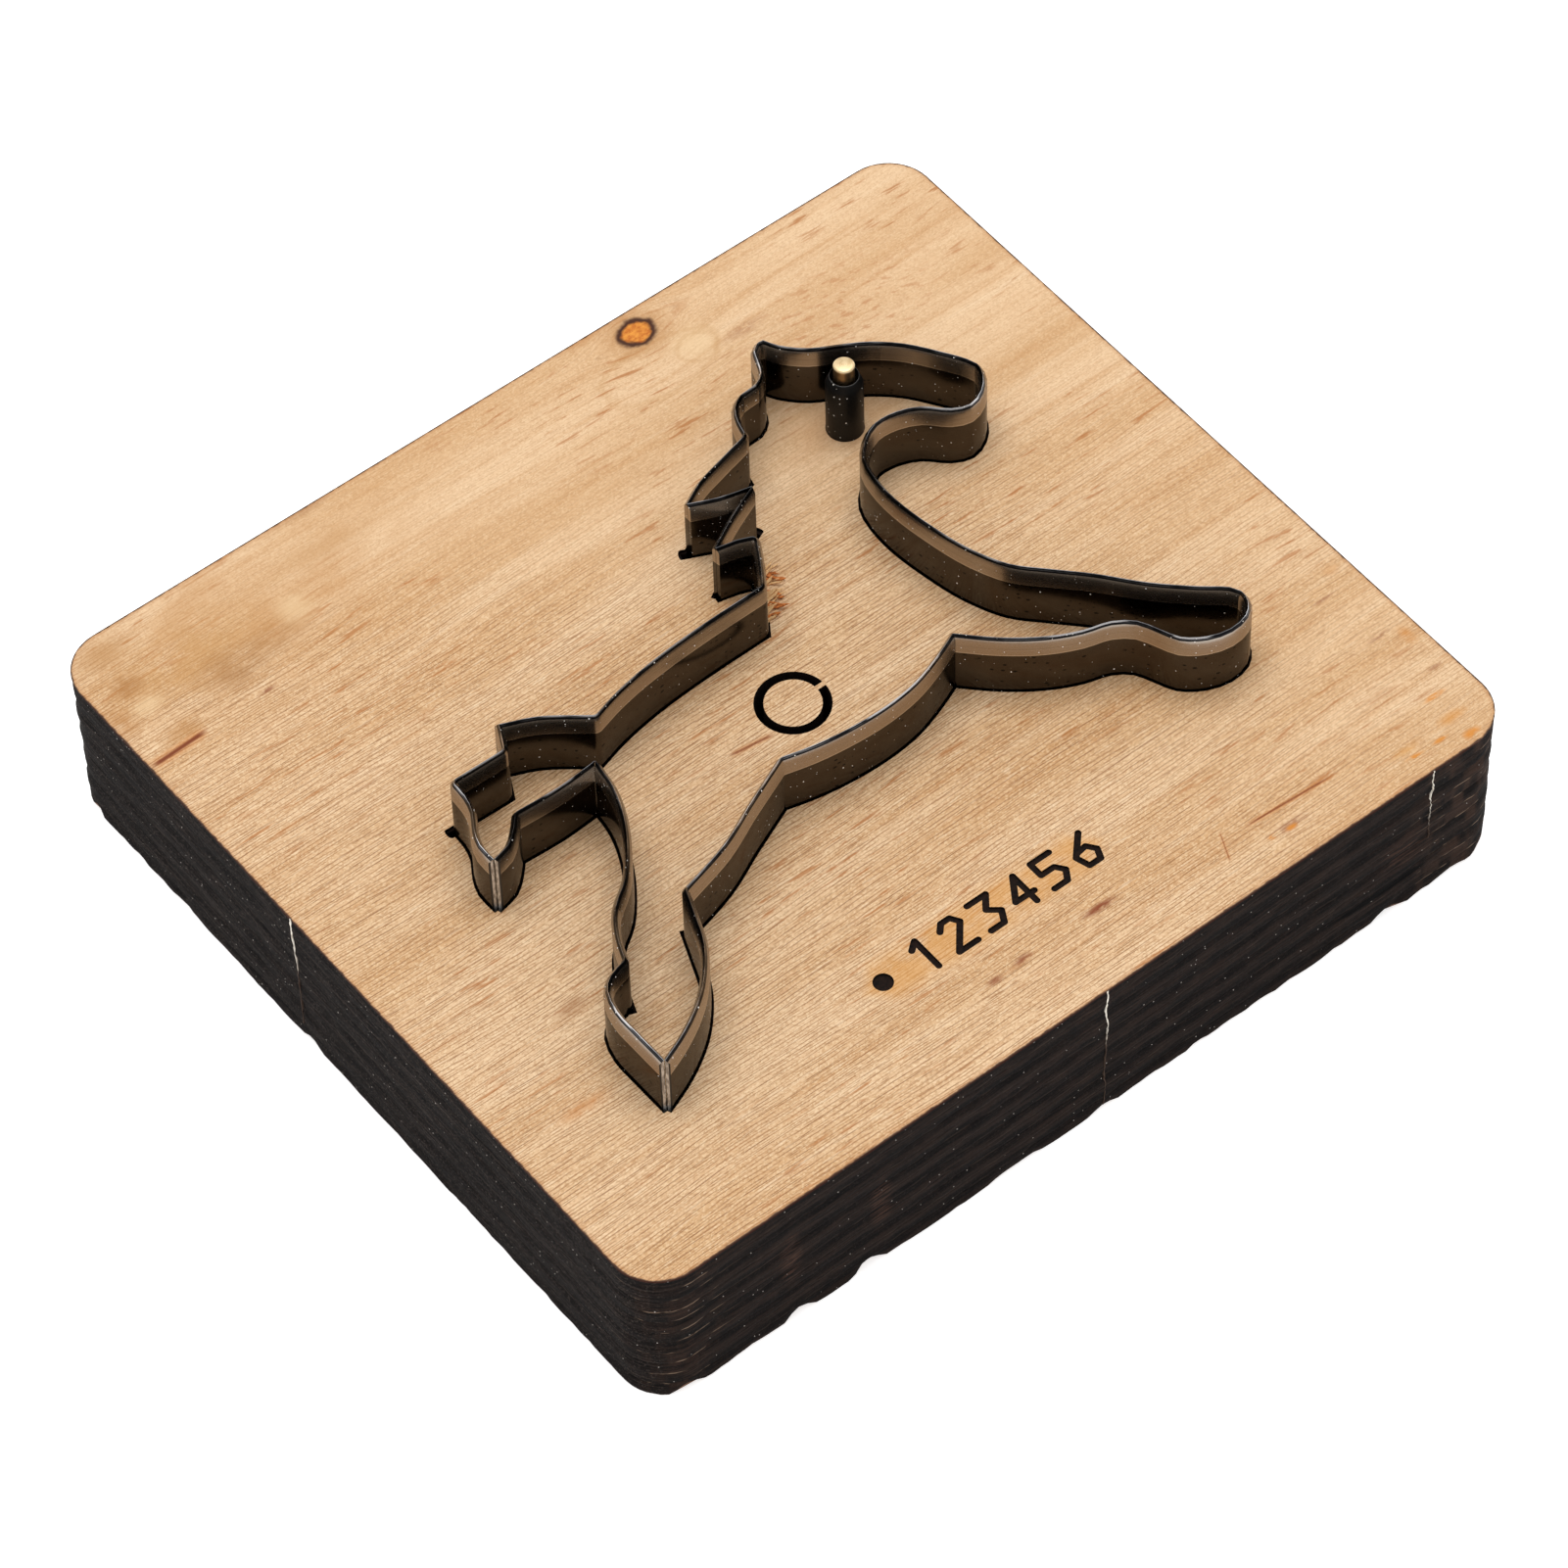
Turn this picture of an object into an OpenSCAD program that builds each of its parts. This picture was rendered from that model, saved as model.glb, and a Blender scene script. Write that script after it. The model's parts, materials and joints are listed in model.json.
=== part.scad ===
// Steel rule die: bent cutting rules and a spring punch set in a laser-cut plywood board.
// Origin at the middle of the board's underside, +X along the long side, +Z towards the cutting edge.

/* [Board] */
// Length of the board along X
board_l = 93; // [86:0.5:120]
// Width of the board along Y
board_w = 83.5; // [76:0.5:110]
// Thickness of the plywood
board_t = 17; // [15:0.5:18]
// Radius of the board's upright corners
board_corner_r = 4.5; // [2:0.5:8]

/* [Cut figure] */
// Length of the running horse figure along X, measured on the cutting edge
figure_l = 67.4; // [60:0.2:72]
// Shift of the figure from the board's middle along X
figure_x = 0; // [-3:0.1:3]
// Shift of the figure from the board's middle along Y
figure_y = 0; // [-3:0.1:3]

/* [Cutting rule] */
// Height of the rule from foot to cutting edge
rule_h = 23.8; // [22.8:0.1:25.4]
// Thickness of the rule
rule_t = 0.71; // [0.5:0.01:0.9]
// Height of the ground bevel under the cutting edge
bevel_h = 0.6; // [0.4:0.05:1]
// Inside-to-outside mean radius of a sharp bend
bend_r = 0.5; // [0.46:0.02:0.8]
// Gap between two rule ends that butt at a tip
joint_gap = 0.04; // [0.02:0.01:0.1]

/* [Kerf] */
// Clearance between the rule and each wall of its kerf
kerf_clear = 0.05; // [0.02:0.01:0.1]
// Extra width of the kerf on each side where the laser enters the wood
flare_w = 0.14; // [0.05:0.01:0.25]
// Depth of that flared mouth
flare_h = 0.4; // [0.2:0.1:1]
// How far a laser stroke runs on past a corner
overshoot = 0.6; // [0.4:0.1:1]
// How far a stroke runs past a bend
bend_run = 0.2; // [0.1:0.05:0.3]
// How far a stroke runs past the end of its rule
tip_run = 0.1; // [0.05:0.05:0.2]
// Length of the wood left as a bridge across a kerf
bridge_l = 5; // [4:0.5:6]
// Depth of the kerf over a bridge
bridge_drop = 4; // [2:0.5:6]
// Clearance between a bridge and the notch in the rule's foot
notch_clear = 0.6; // [0.3:0.1:1]

/* [Ring kerf] */
// Place of the ring kerf's centre along X, on the drawn figure
ring_x = -0.1; // [-4:0.1:4]
// Place of the ring kerf's centre along Y, on the drawn figure
ring_y = -2; // [-4:0.1:0]
// Mean radius of the ring kerf
ring_r = 2.95; // [2:0.05:3.5]
// Width of the ring kerf
ring_w = 0.85; // [0.4:0.05:1]
// Width of the bridge that holds the ring's core
ring_bridge = 0.45; // [0.3:0.05:1]

/* [Punch] */
// Place of the punch along X, on the drawn figure
punch_x = 22.4; // [21.5:0.1:23.5]
// Place of the punch along Y, on the drawn figure
punch_y = 19; // [18:0.1:19.5]
// Outer diameter of the punch body
punch_d = 3.4; // [3.2:0.1:3.8]
// Height of the punch from foot to cutting edge
punch_h = 24; // [23:0.1:25.4]
// Diameter of the round cutting edge
punch_edge_d = 2.6; // [2.4:0.05:2.8]
// Height of the cone under the round cutting edge
punch_cone_h = 1.1; // [0.8:0.1:1.6]
// Depth of the mouth that takes the slug
mouth_h = 3.5; // [2.5:0.1:4]
// Length of the bore that guides the pin
guide_h = 3; // [2:0.1:4]
// Diameter of the spring chamber
chamber_d = 2.6; // [2.5:0.05:2.7]
// Height of the plug that closes the chamber
plug_h = 2; // [1:0.1:3]
// Clearance of the punch in the board and of the plug in the chamber
seat_clear = 0.04; // [0.02:0.01:0.1]

/* [Ejector] */
// Diameter of the ejector pin
pin_d = 1.9; // [1.6:0.05:2]
// How far the pin stands above the punch's edge at rest
pin_proud = 1.4; // [0.8:0.1:1.7]
// Radial running clearance of the pin and of its collar
pin_clear = 0.05; // [0.02:0.01:0.09]
// Travel of the pin until its stem meets the plug
pin_travel = 4.4; // [3:0.1:4.8]
// Diameter of the stem that guides the spring
stem_d = 1.2; // [0.8:0.1:1.4]
// Height of the collar that stops the pin
collar_h = 1; // [0.6:0.1:1.5]
// Gap between the collar and what it bears on
collar_gap = 0.05; // [0.02:0.01:0.1]
// Chamfer on the pin's end
pin_chamfer = 0.12; // [0.05:0.01:0.3]
// Diameter of the spring wire
wire_d = 0.3; // [0.2:0.02:0.34]
// Clearance between the spring and the chamber wall
coil_clear = 0.12; // [0.08:0.02:0.2]
// Number of turns of the spring
coil_turns = 11; // [8:1:14]

/* [Burnt mark] */
// Left end of the row of digits along X
mark_x = -9; // [-12:0.5:-6]
// Foot of the row of digits along Y
mark_y = -31; // [-34:0.5:-30.5]
// Height of a digit
mark_h = 3.2; // [2:0.1:3.6]
// Width of a digit
mark_w = 2; // [1.4:0.1:2.4]
// Distance from one digit to the next
mark_pitch = 3.4; // [2.8:0.1:3.8]
// Width of a burnt stroke
mark_stroke = 0.6; // [0.3:0.05:0.8]
// Depth of a burnt stroke
mark_depth = 0.25; // [0.1:0.05:0.6]
// Diameter of the dot before the digits
dot_d = 1.8; // [1:0.1:2.4]

/* [Hidden] */
$fn = 48;

// Tips where two rules butt, in millimetres on the drawn figure
ear_tip = [19.55, 26.7];
armpit = [11.75, -8.9];
hoof_tip = [-33.85, -28.05];
crotch = [-19.75, -0.5];
tail_tip = [-32.4, -3.3];
dock_tip = [-23.65, 7.6];
mane_tip = [2, 11.05];
mane_notch = [8.6, 14.4];
crest_tip = [3.1, 16.4];
drawn_l = 67.4;

// Each rule is a list of strokes between sharp bends, and each stroke a smooth run through its points.
head_foreleg_strokes = [
    [ear_tip, [20.2, 25.4], [22, 23.5], [24.4, 22.1], [26.6, 20.7], [28.8, 18.6], [30.6, 16],
     [31.9, 13.8], [32.25, 12.8], [31.8, 11.5], [30.6, 10.25], [28.9, 9.65], [27.3, 10.3], [25.4, 12.15],
     [23.4, 13.05], [21.2, 13.2], [19.3, 12.25], [17.95, 10.7], [17.35, 8.6], [17.2, 5.6], [17.7, 1.5],
     [18.6, -2.5], [20.2, -6.1], [22.4, -8.6], [25.1, -11.5], [28, -15.1], [31, -18.1], [33, -19.85],
     [33.5, -20.8], [33.2, -22], [32.1, -23], [30.2, -23.3], [28.1, -22.7], [26.3, -21.3], [25.5, -19.6],
     [24.6, -17.7], [22.9, -16.35], [20.4, -15.55], [17.6, -14.1], [14.6, -11.8], armpit]
];
belly_strokes = [
    [armpit, [9.2, -9.95], [6, -10.95], [2.5, -11.35], [-1.5, -11.2], [-4.6, -10.75], [-7.6, -10]],
    [[-7.6, -10], [-12.4, -12.1], [-16.6, -14.05], [-22, -15.6]],
    [[-22, -15.6], [-22.95, -18], [-24.3, -21.05], [-26.85, -24.1], [-29.1, -25.8], [-31.5, -27.1], hoof_tip]
];
hind_leg_strokes = [
    [hoof_tip, [-33.9, -24.5], [-33.85, -21.8], [-33.2, -19.7], [-32.1, -18.7], [-30.2, -18.15]],
    [[-30.2, -18.15], [-29.2, -15.8], [-27.6, -13.5], [-25.1, -11.6], [-23.1, -9.25], [-21.3, -6.35],
     [-20.2, -3.5], crotch]
];
tail_under_strokes = [
    [crotch, [-23.8, -0.75], [-28.1, -0.55]],
    [[-28.1, -0.55], [-29.2, -1.75], [-30.6, -2.85], tail_tip]
];
tail_end_strokes = [
    [tail_tip, [-32.4, -1.4], [-31.8, 0.2], [-30.8, 1.8], [-30.35, 3.4], [-30.25, 5.35]],
    [[-30.25, 5.35], [-24.85, 5.25]],
    [[-24.85, 5.25], dock_tip]
];
back_strokes = [
    [dock_tip, [-20.7, 6.25], [-16.8, 3.25]],
    [[-16.8, 3.25], [-13.6, 4.15], [-9.2, 4.85], [-3.5, 5.2], [2.6, 5.3]],
    [[2.6, 5.3], [3.95, 7.3], [5.5, 9.9]],
    [[5.5, 9.9], [3.9, 10.6], mane_tip]
];
mane_lower_strokes = [[mane_tip, [5.2, 12.85], mane_notch]];
mane_middle_strokes = [[mane_notch, [5.6, 15.25], crest_tip]];
mane_upper_strokes = [
    [crest_tip, [5.4, 17.6], [8.2, 18.4], [11.75, 19.3]],
    [[11.75, 19.3], [12.15, 20.8], [12.9, 22.2], [14.2, 23.05], [15.9, 23.15], [17.1, 23.9], [17.7, 25.1],
     [18.25, 26.3], [19, 26.8], ear_tip]
];

// The rules in order round the figure, each with its strokes, its bridges as shares of its length, and the strokes
// whose start, and those whose end, the laser ran past
RULES = [
    [head_foreleg_strokes, [0.13, 0.41, 0.83], [], []],
    [belly_strokes, [0.2, 0.62], [2], []],
    [hind_leg_strokes, [0.62], [1], []],
    [tail_under_strokes, [], [], []],
    [tail_end_strokes, [], [1], []],
    [back_strokes, [0.5], [], []],
    [mane_lower_strokes, [], [], [0]],
    [mane_middle_strokes, [], [], [0]],
    [mane_upper_strokes, [0.25], [], []]
];

// Longest straight facet along a rule, and the turn that counts as a bend
facet_l = 1.1;
bend_turn = 20;
bend_facets = 4;
// Half angle at a tip below which the two ends are cut blunt
blunt_angle = 42;
// Least distance kept between a rule's end and the next facet
end_margin = 0.15;
through = 1;

figure_k = figure_l / drawn_l;
function on_figure(p) = p * figure_k + [figure_x, figure_y];
punch_at = on_figure([punch_x, punch_y]);
ring_at = on_figure([ring_x, ring_y]);
kerf_w = rule_t + 2 * kerf_clear;
bridge_z = board_t - bridge_drop;
notch_z = bridge_z + notch_clear;
chamber_top = punch_h - mouth_h - guide_h;
collar_top = chamber_top - collar_gap;
collar_z = collar_top - collar_h;
stem_z = plug_h + collar_gap + pin_travel;
pin_top = punch_h + pin_proud;
guide_d = pin_d + 2 * pin_clear;
collar_d = chamber_d - 2 * pin_clear;
coil_r = chamber_d / 2 - coil_clear - wire_d / 2;
coil_z0 = plug_h + collar_gap + wire_d / 2;
coil_z1 = collar_z - collar_gap - wire_d / 2;

// Plane vectors
function unit(v) = v / norm(v);
function left_of(v) = [-v.y, v.x];
function turn(u, v) = atan2(u.x * v.y - u.y * v.x, u * v);
function last(list) = list[len(list) - 1];

// Point at share f from b to c on a smooth curve through a, b, c and d
function between(a, b, s, t, x) = a + (b - a) * (x - s) / (t - s);
function curve_point(a, b, c, d, f) =
    let (t1 = sqrt(norm(b - a)),
         t2 = t1 + sqrt(norm(c - b)),
         t3 = t2 + sqrt(norm(d - c)),
         x = t1 + (t2 - t1) * f,
         ab = between(a, b, 0, t1, x),
         bc = between(b, c, t1, t2, x),
         cd = between(c, d, t2, t3, x),
         abc = between(ab, bc, 0, t2, x),
         bcd = between(bc, cd, t1, t3, x))
    between(abc, bcd, t1, t2, x);

// A stroke's points joined by short facets
function smooth(pts) =
    let (n = len(pts))
    [for (i = [0 : n - 2])
        let (before = i == 0 ? 2 * pts[0] - pts[1] : pts[i - 1],
             after = i == n - 2 ? 2 * pts[n - 1] - pts[n - 2] : pts[i + 2],
             facets = ceil(norm(pts[i + 1] - pts[i]) / facet_l))
        for (j = [0 : facets - 1]) curve_point(before, pts[i], pts[i + 1], after, j / facets),
     pts[n - 1]];

function placed(stroke) = [for (p = smooth(stroke)) on_figure(p)];

// A sharp corner b between a and c rounded to the bend radius
function rounded(a, b, c) =
    let (u = unit(b - a),
         angle = turn(u, unit(c - b)),
         half = abs(angle) / 2,
         tangent = min(bend_r * tan(half), 0.45 * min(norm(b - a), norm(c - b))),
         r = tangent / tan(half),
         side = left_of(u) * sign(angle))
    [for (k = [0 : bend_facets])
        let (w = 2 * half * k / bend_facets)
        b - tangent * u + r * (sin(w) * u + (1 - cos(w)) * side)];

function joined(strokes) =
    [for (k = [0 : len(strokes) - 1])
        let (run = placed(strokes[k]))
        for (i = [(k == 0 ? 0 : 1) : len(run) - 1]) run[i]];

// Middle line of a rule
function path(strokes) =
    let (pts = joined(strokes), n = len(pts))
    [pts[0],
     for (i = [1 : n - 2])
        if (abs(turn(pts[i] - pts[i - 1], pts[i + 1] - pts[i])) < bend_turn) pts[i]
        else each rounded(pts[i - 1], pts[i], pts[i + 1]),
     pts[n - 1]];

PATHS = [for (rule = RULES) path(rule[0])];

// Distance of each point from the path's start
function distances(pts) =
    [for (i = 0, s = 0; i < len(pts); s = s + (i + 1 < len(pts) ? norm(pts[i + 1] - pts[i]) : 0), i = i + 1) s];

// Point and direction at distance s along a path
function step_at(at, s) = max([for (i = [0 : len(at) - 2]) if (at[i] <= s) i]);
function point_at(pts, at, s) =
    let (i = step_at(at, s))
    pts[i] + unit(pts[i + 1] - pts[i]) * (s - at[i]);
function angle_at(pts, at, s) =
    let (i = step_at(at, s), d = pts[i + 1] - pts[i])
    atan2(d.y, d.x);

function start_direction(pts) = unit(pts[1] - pts[0]);
function end_direction(pts) = unit(last(pts) - pts[len(pts) - 2]);

// Outward direction at a tip that is reached along u and left along v
function tip_direction(u, v) = unit(u - v);
function set_back(u, v) =
    let (c = u * tip_direction(u, v))
    rule_t / 2 * c / sqrt(1 - c * c) + end_margin;

// Left, middle and right of the end of a rule that reaches tip p along u, beside one that leaves along v
function cut_end(p, u, v) =
    let (out = tip_direction(u, v),
         c = u * out,
         s = sqrt(1 - c * c),
         inner_side = left_of(u) * sign(turn(u, v)),
         inner = p - out * rule_t / 2 / s,
         blunt = p - u * (rule_t / 2 * s / c) - inner_side * rule_t / 2,
         mitred = p + out * rule_t / 2 / s,
         outer = s < sin(blunt_angle) ? blunt : mitred,
         away = unit((inner_side * out) * out - inner_side) * joint_gap / 2)
    turn(u, v) > 0 ? [inner + away, p + away, outer + away] : [outer + away, p + away, inner + away];

function reversed(list) = [for (i = [len(list) - 1 : -1 : 0]) list[i]];

// Left, middle and right of a rule at an inner station
function section(a, b, c) =
    let (u = unit(b - a),
         v = unit(c - b),
         m = left_of(u + v) / (1 + u * v) * rule_t / 2)
    [b + m, b, b - m];

// Start and end of each notch along a rule's foot
function notches(index) =
    let (whole = last(distances(PATHS[index])), half = bridge_l / 2 + notch_clear)
    [for (share = RULES[index][1]) [share * whole - half, share * whole + half]];

// Stations along a rule: its facets' corners, less those too near its tips, and its notches' edges
function stations(index) =
    let (pts = PATHS[index],
         count = len(RULES),
         at = distances(pts),
         whole = last(at),
         before = end_direction(PATHS[(index + count - 1) % count]),
         after = start_direction(PATHS[(index + 1) % count]),
         first_free = set_back(-start_direction(pts), -before),
         last_free = whole - set_back(end_direction(pts), after),
         edges = [for (n = notches(index)) each n])
    [for (i = [0 : len(pts) - 1])
        each [if (i == 0 || i == len(pts) - 1 || (at[i] > first_free && at[i] < last_free)) at[i],
              for (e = edges) if (i < len(pts) - 1 && at[i] < e && e < at[i + 1]) e]];

// Faces of the rule's solid. A station has nine corners: left, middle and right at foot, notch and top.
function strip(i, a, b) = [9 * i + a, 9 * i + b, 9 * (i + 1) + b, 9 * (i + 1) + a];
function cap(i, a, b, c, d) = [9 * i + a, 9 * i + b, 9 * i + c, 9 * i + d];
function lower_cap(i) = [cap(i, 0, 1, 4, 3), cap(i, 1, 2, 5, 4)];
function upper_cap(i) = [cap(i, 3, 4, 7, 6), cap(i, 4, 5, 8, 7)];
function flipped(faces) = [for (f = faces) reversed(f)];

function rule_faces(n, notched) =
    [for (i = [0 : n - 2])
        each concat(
            [strip(i, 3, 6), strip(i, 6, 7), strip(i, 7, 8), strip(i, 8, 5)],
            notched[i] ? [strip(i, 4, 3), strip(i, 5, 4)]
                       : [strip(i, 0, 3), strip(i, 5, 2), strip(i, 1, 0), strip(i, 2, 1)]),
     for (i = [1 : n - 2])
        if (notched[i] != notched[i - 1]) each (notched[i] ? flipped(lower_cap(i)) : lower_cap(i)),
     each lower_cap(0),
     each upper_cap(0),
     each flipped(lower_cap(n - 1)),
     each flipped(upper_cap(n - 1))];

// A bent rule with its bevelled edge, its cut ends and the notches over the board's bridges
module rule(index) {
    count = len(RULES);
    pts = PATHS[index];
    at = distances(pts);
    marks = stations(index);
    n = len(marks);
    line = [for (s = marks) point_at(pts, at, s)];
    before = end_direction(PATHS[(index + count - 1) % count]);
    after = start_direction(PATHS[(index + 1) % count]);
    sections = [
        reversed(cut_end(line[0], -start_direction(pts), -before)),
        for (i = [1 : n - 2]) section(line[i - 1], line[i], line[i + 1]),
        cut_end(line[n - 1], end_direction(pts), after)
    ];
    shoulder = rule_h - bevel_h;
    corners = [for (s = sections)
        each [for (h = [[0, 0, 0], [notch_z, notch_z, notch_z], [shoulder, rule_h, shoulder]])
            each [for (k = [0 : 2]) [s[k].x, s[k].y, h[k]]]]];
    notched = [for (i = [0 : n - 2])
        let (middle = (marks[i] + marks[i + 1]) / 2)
        len([for (e = notches(index)) if (e[0] < middle && middle < e[1]) 1]) > 0];
    polyhedron(corners, rule_faces(n, notched), convexity = 10);
}

// How far a kerf runs past the tip that its rule reaches along u, beside a rule that leaves along v
function tip_reach(u, v) =
    let (c = u * tip_direction(u, v), s = sqrt(1 - c * c))
    s < sin(blunt_angle) ? tip_run : rule_t / 2 * c / s + tip_run;

// How far stroke k of a rule runs past its start and past its end
function start_run(index, k) =
    let (count = len(RULES))
    len(search(k, RULES[index][2])) > 0 ? overshoot
    : k > 0 ? bend_run
    : tip_reach(-start_direction(PATHS[index]), -end_direction(PATHS[(index + count - 1) % count]));
function end_run(index, k) =
    let (count = len(RULES))
    len(search(k, RULES[index][3])) > 0 ? overshoot
    : k < len(RULES[index][0]) - 1 ? bend_run
    : tip_reach(end_direction(PATHS[index]), start_direction(PATHS[(index + 1) % count]));

// Outline of the kerf of a given width that stroke k of a rule cuts
function kerf_outline(index, k, width) =
    let (pts = placed(RULES[index][0][k]),
         n = len(pts),
         spread = (width - kerf_w) / 2,
         line = [pts[0] - start_direction(pts) * (start_run(index, k) + spread),
                 for (i = [1 : n - 2]) pts[i],
                 last(pts) + end_direction(pts) * (end_run(index, k) + spread)],
         m = len(line),
         side = [for (i = [0 : m - 1])
            let (u = unit(line[max(i, 1)] - line[max(i, 1) - 1]),
                 v = unit(line[min(i + 1, m - 1)] - line[min(i, m - 2)]))
            left_of(u + v) / (1 + u * v) * width / 2])
    [for (i = [0 : m - 1]) line[i] + side[i], for (i = [m - 1 : -1 : 0]) line[i] - side[i]];

// The strokes of one rule, cut from height z upwards
module strokes_cut(index, width, z) {
    for (k = [0 : len(RULES[index][0]) - 1])
        translate([0, 0, z])
            linear_extrude(board_t + through - z) polygon(kerf_outline(index, k, width));
}

// The kerf of one rule with its flared mouth, less the bridges of wood across it
module kerfs(index) {
    pts = PATHS[index];
    at = distances(pts);
    strokes_cut(index, kerf_w + 2 * flare_w, board_t - flare_h);
    difference() {
        strokes_cut(index, kerf_w, -through);
        for (share = RULES[index][1]) {
            s = share * last(at);
            p = point_at(pts, at, s);
            translate([p.x, p.y, 0])
                rotate([0, 0, angle_at(pts, at, s)])
                    translate([-bridge_l / 2, -bridge_l / 2, -2 * through])
                        cube([bridge_l, bridge_l, bridge_z + 2 * through]);
        }
    }
}

module ring_kerf() {
    translate([ring_at.x, ring_at.y, -through])
        difference() {
            cylinder(h = board_t + 2 * through, r = ring_r + ring_w / 2);
            translate([0, 0, -through]) cylinder(h = board_t + 4 * through, r = ring_r - ring_w / 2);
            translate([0, -ring_bridge / 2, -through]) cube([2 * ring_r, ring_bridge, board_t + 4 * through]);
        }
}

// Digits 1 to 6 as strokes on a cell one unit wide and high
DIGITS = [
    [[0.2, 0.8], [0.6, 1], [0.6, 0]],
    [[0, 0.8], [0.3, 1], [0.75, 1], [1, 0.75], [0, 0], [1, 0]],
    [[0, 1], [1, 1], [0.5, 0.6], [1, 0.35], [0.7, 0], [0, 0]],
    [[0.75, 0], [0.75, 1], [0, 0.3], [1, 0.3]],
    [[1, 1], [0, 1], [0, 0.55], [0.7, 0.55], [1, 0.3], [0.7, 0], [0, 0]],
    [[0.9, 1], [0, 0.4], [0.2, 0], [0.8, 0], [1, 0.3], [0.7, 0.55], [0.15, 0.5]]
];

module stroke(a, b) {
    translate([a.x, a.y, 0]) cylinder(h = mark_depth + through, d = mark_stroke);
    translate([b.x, b.y, 0]) cylinder(h = mark_depth + through, d = mark_stroke);
    translate([a.x, a.y, 0])
        rotate([0, 0, atan2(b.y - a.y, b.x - a.x)])
            translate([0, -mark_stroke / 2, 0]) cube([norm(b - a), mark_stroke, mark_depth + through]);
}

module burnt_mark() {
    translate([mark_x, mark_y, board_t - mark_depth]) {
        translate([-mark_pitch, mark_h / 2, 0]) cylinder(h = mark_depth + through, d = dot_d);
        for (d = [0 : len(DIGITS) - 1], i = [0 : len(DIGITS[d]) - 2])
            stroke([d * mark_pitch + DIGITS[d][i].x * mark_w, DIGITS[d][i].y * mark_h],
                   [d * mark_pitch + DIGITS[d][i + 1].x * mark_w, DIGITS[d][i + 1].y * mark_h]);
    }
}

module plate() {
    inner_l = board_l - 2 * board_corner_r;
    inner_w = board_w - 2 * board_corner_r;
    linear_extrude(board_t) {
        square([board_l, inner_w], center = true);
        square([inner_l, board_w], center = true);
        for (x = [-1, 1], y = [-1, 1])
            translate([x * inner_l / 2, y * inner_w / 2]) circle(r = board_corner_r);
    }
}

module die_board() {
    color("burlywood")
        difference() {
            plate();
            for (i = [0 : len(RULES) - 1]) kerfs(i);
            ring_kerf();
            burnt_mark();
            translate([punch_at.x, punch_at.y, -through])
                cylinder(h = board_t + 2 * through, d = punch_d + 2 * seat_clear);
        }
}

module head_foreleg_rule() { color("dimgray") rule(0); }
module belly_rule() { color("dimgray") rule(1); }
module hind_leg_rule() { color("dimgray") rule(2); }
module tail_under_rule() { color("dimgray") rule(3); }
module tail_end_rule() { color("dimgray") rule(4); }
module back_rule() { color("dimgray") rule(5); }
module mane_lower_rule() { color("dimgray") rule(6); }
module mane_middle_rule() { color("dimgray") rule(7); }
module mane_upper_rule() { color("dimgray") rule(8); }

// Turned steel tube with a mouth for the slug, a guide bore and a spring chamber
module punch_body() {
    color("black")
        translate(punch_at)
            rotate_extrude()
                polygon([
                    [chamber_d / 2, 0],
                    [punch_d / 2, 0],
                    [punch_d / 2, punch_h - punch_cone_h],
                    [punch_edge_d / 2, punch_h],
                    [punch_edge_d / 2, punch_h - mouth_h],
                    [guide_d / 2, punch_h - mouth_h],
                    [guide_d / 2, chamber_top],
                    [chamber_d / 2, chamber_top]
                ]);
}

module punch_plug() {
    color("gray")
        translate(punch_at) cylinder(h = plug_h, d = chamber_d - 2 * seat_clear);
}

module ejector_pin() {
    color("gold")
        translate(punch_at)
            rotate_extrude()
                polygon([
                    [0, stem_z],
                    [stem_d / 2, stem_z],
                    [stem_d / 2, collar_z],
                    [collar_d / 2, collar_z],
                    [collar_d / 2, collar_top],
                    [pin_d / 2, collar_top],
                    [pin_d / 2, pin_top - pin_chamfer],
                    [pin_d / 2 - pin_chamfer, pin_top],
                    [0, pin_top]
                ]);
}

// Round wire swept along a helix between the plug and the collar
module ejector_spring() {
    wire_sides = 6;
    turn_facets = 12;
    steps = coil_turns * turn_facets;
    rings = [for (i = [0 : steps])
        let (w = 360 * i / turn_facets, z = coil_z0 + (coil_z1 - coil_z0) * i / steps)
        for (k = [0 : wire_sides - 1])
            let (c = 360 * k / wire_sides, r = coil_r + wire_d / 2 * cos(c))
            [r * cos(w), r * sin(w), z + wire_d / 2 * sin(c)]];
    sides = [for (i = [0 : steps - 1], k = [0 : wire_sides - 1])
        let (a = wire_sides * i, b = wire_sides * (i + 1), m = (k + 1) % wire_sides)
        each [[a + k, a + m, b + m], [a + k, b + m, b + k]]];
    ends = [[for (k = [wire_sides - 1 : -1 : 0]) k], [for (k = [0 : wire_sides - 1]) wire_sides * steps + k]];
    color("silver")
        translate(punch_at) polyhedron(rings, concat(sides, ends), convexity = 20);
}

die_board();
head_foreleg_rule();
belly_rule();
hind_leg_rule();
tail_under_rule();
tail_end_rule();
back_rule();
mane_lower_rule();
mane_middle_rule();
mane_upper_rule();
punch_body();
punch_plug();
ejector_pin();
ejector_spring();
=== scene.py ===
"""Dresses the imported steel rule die: board, cutting rules, eye punch, torn wood and studio stage."""
import json
import math
import random

import bpy
from bpy.props import FloatProperty, FloatVectorProperty, IntProperty, PointerProperty
from bpy.types import Operator, Panel, PropertyGroup
from mathutils import Matrix, Vector, noise

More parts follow.
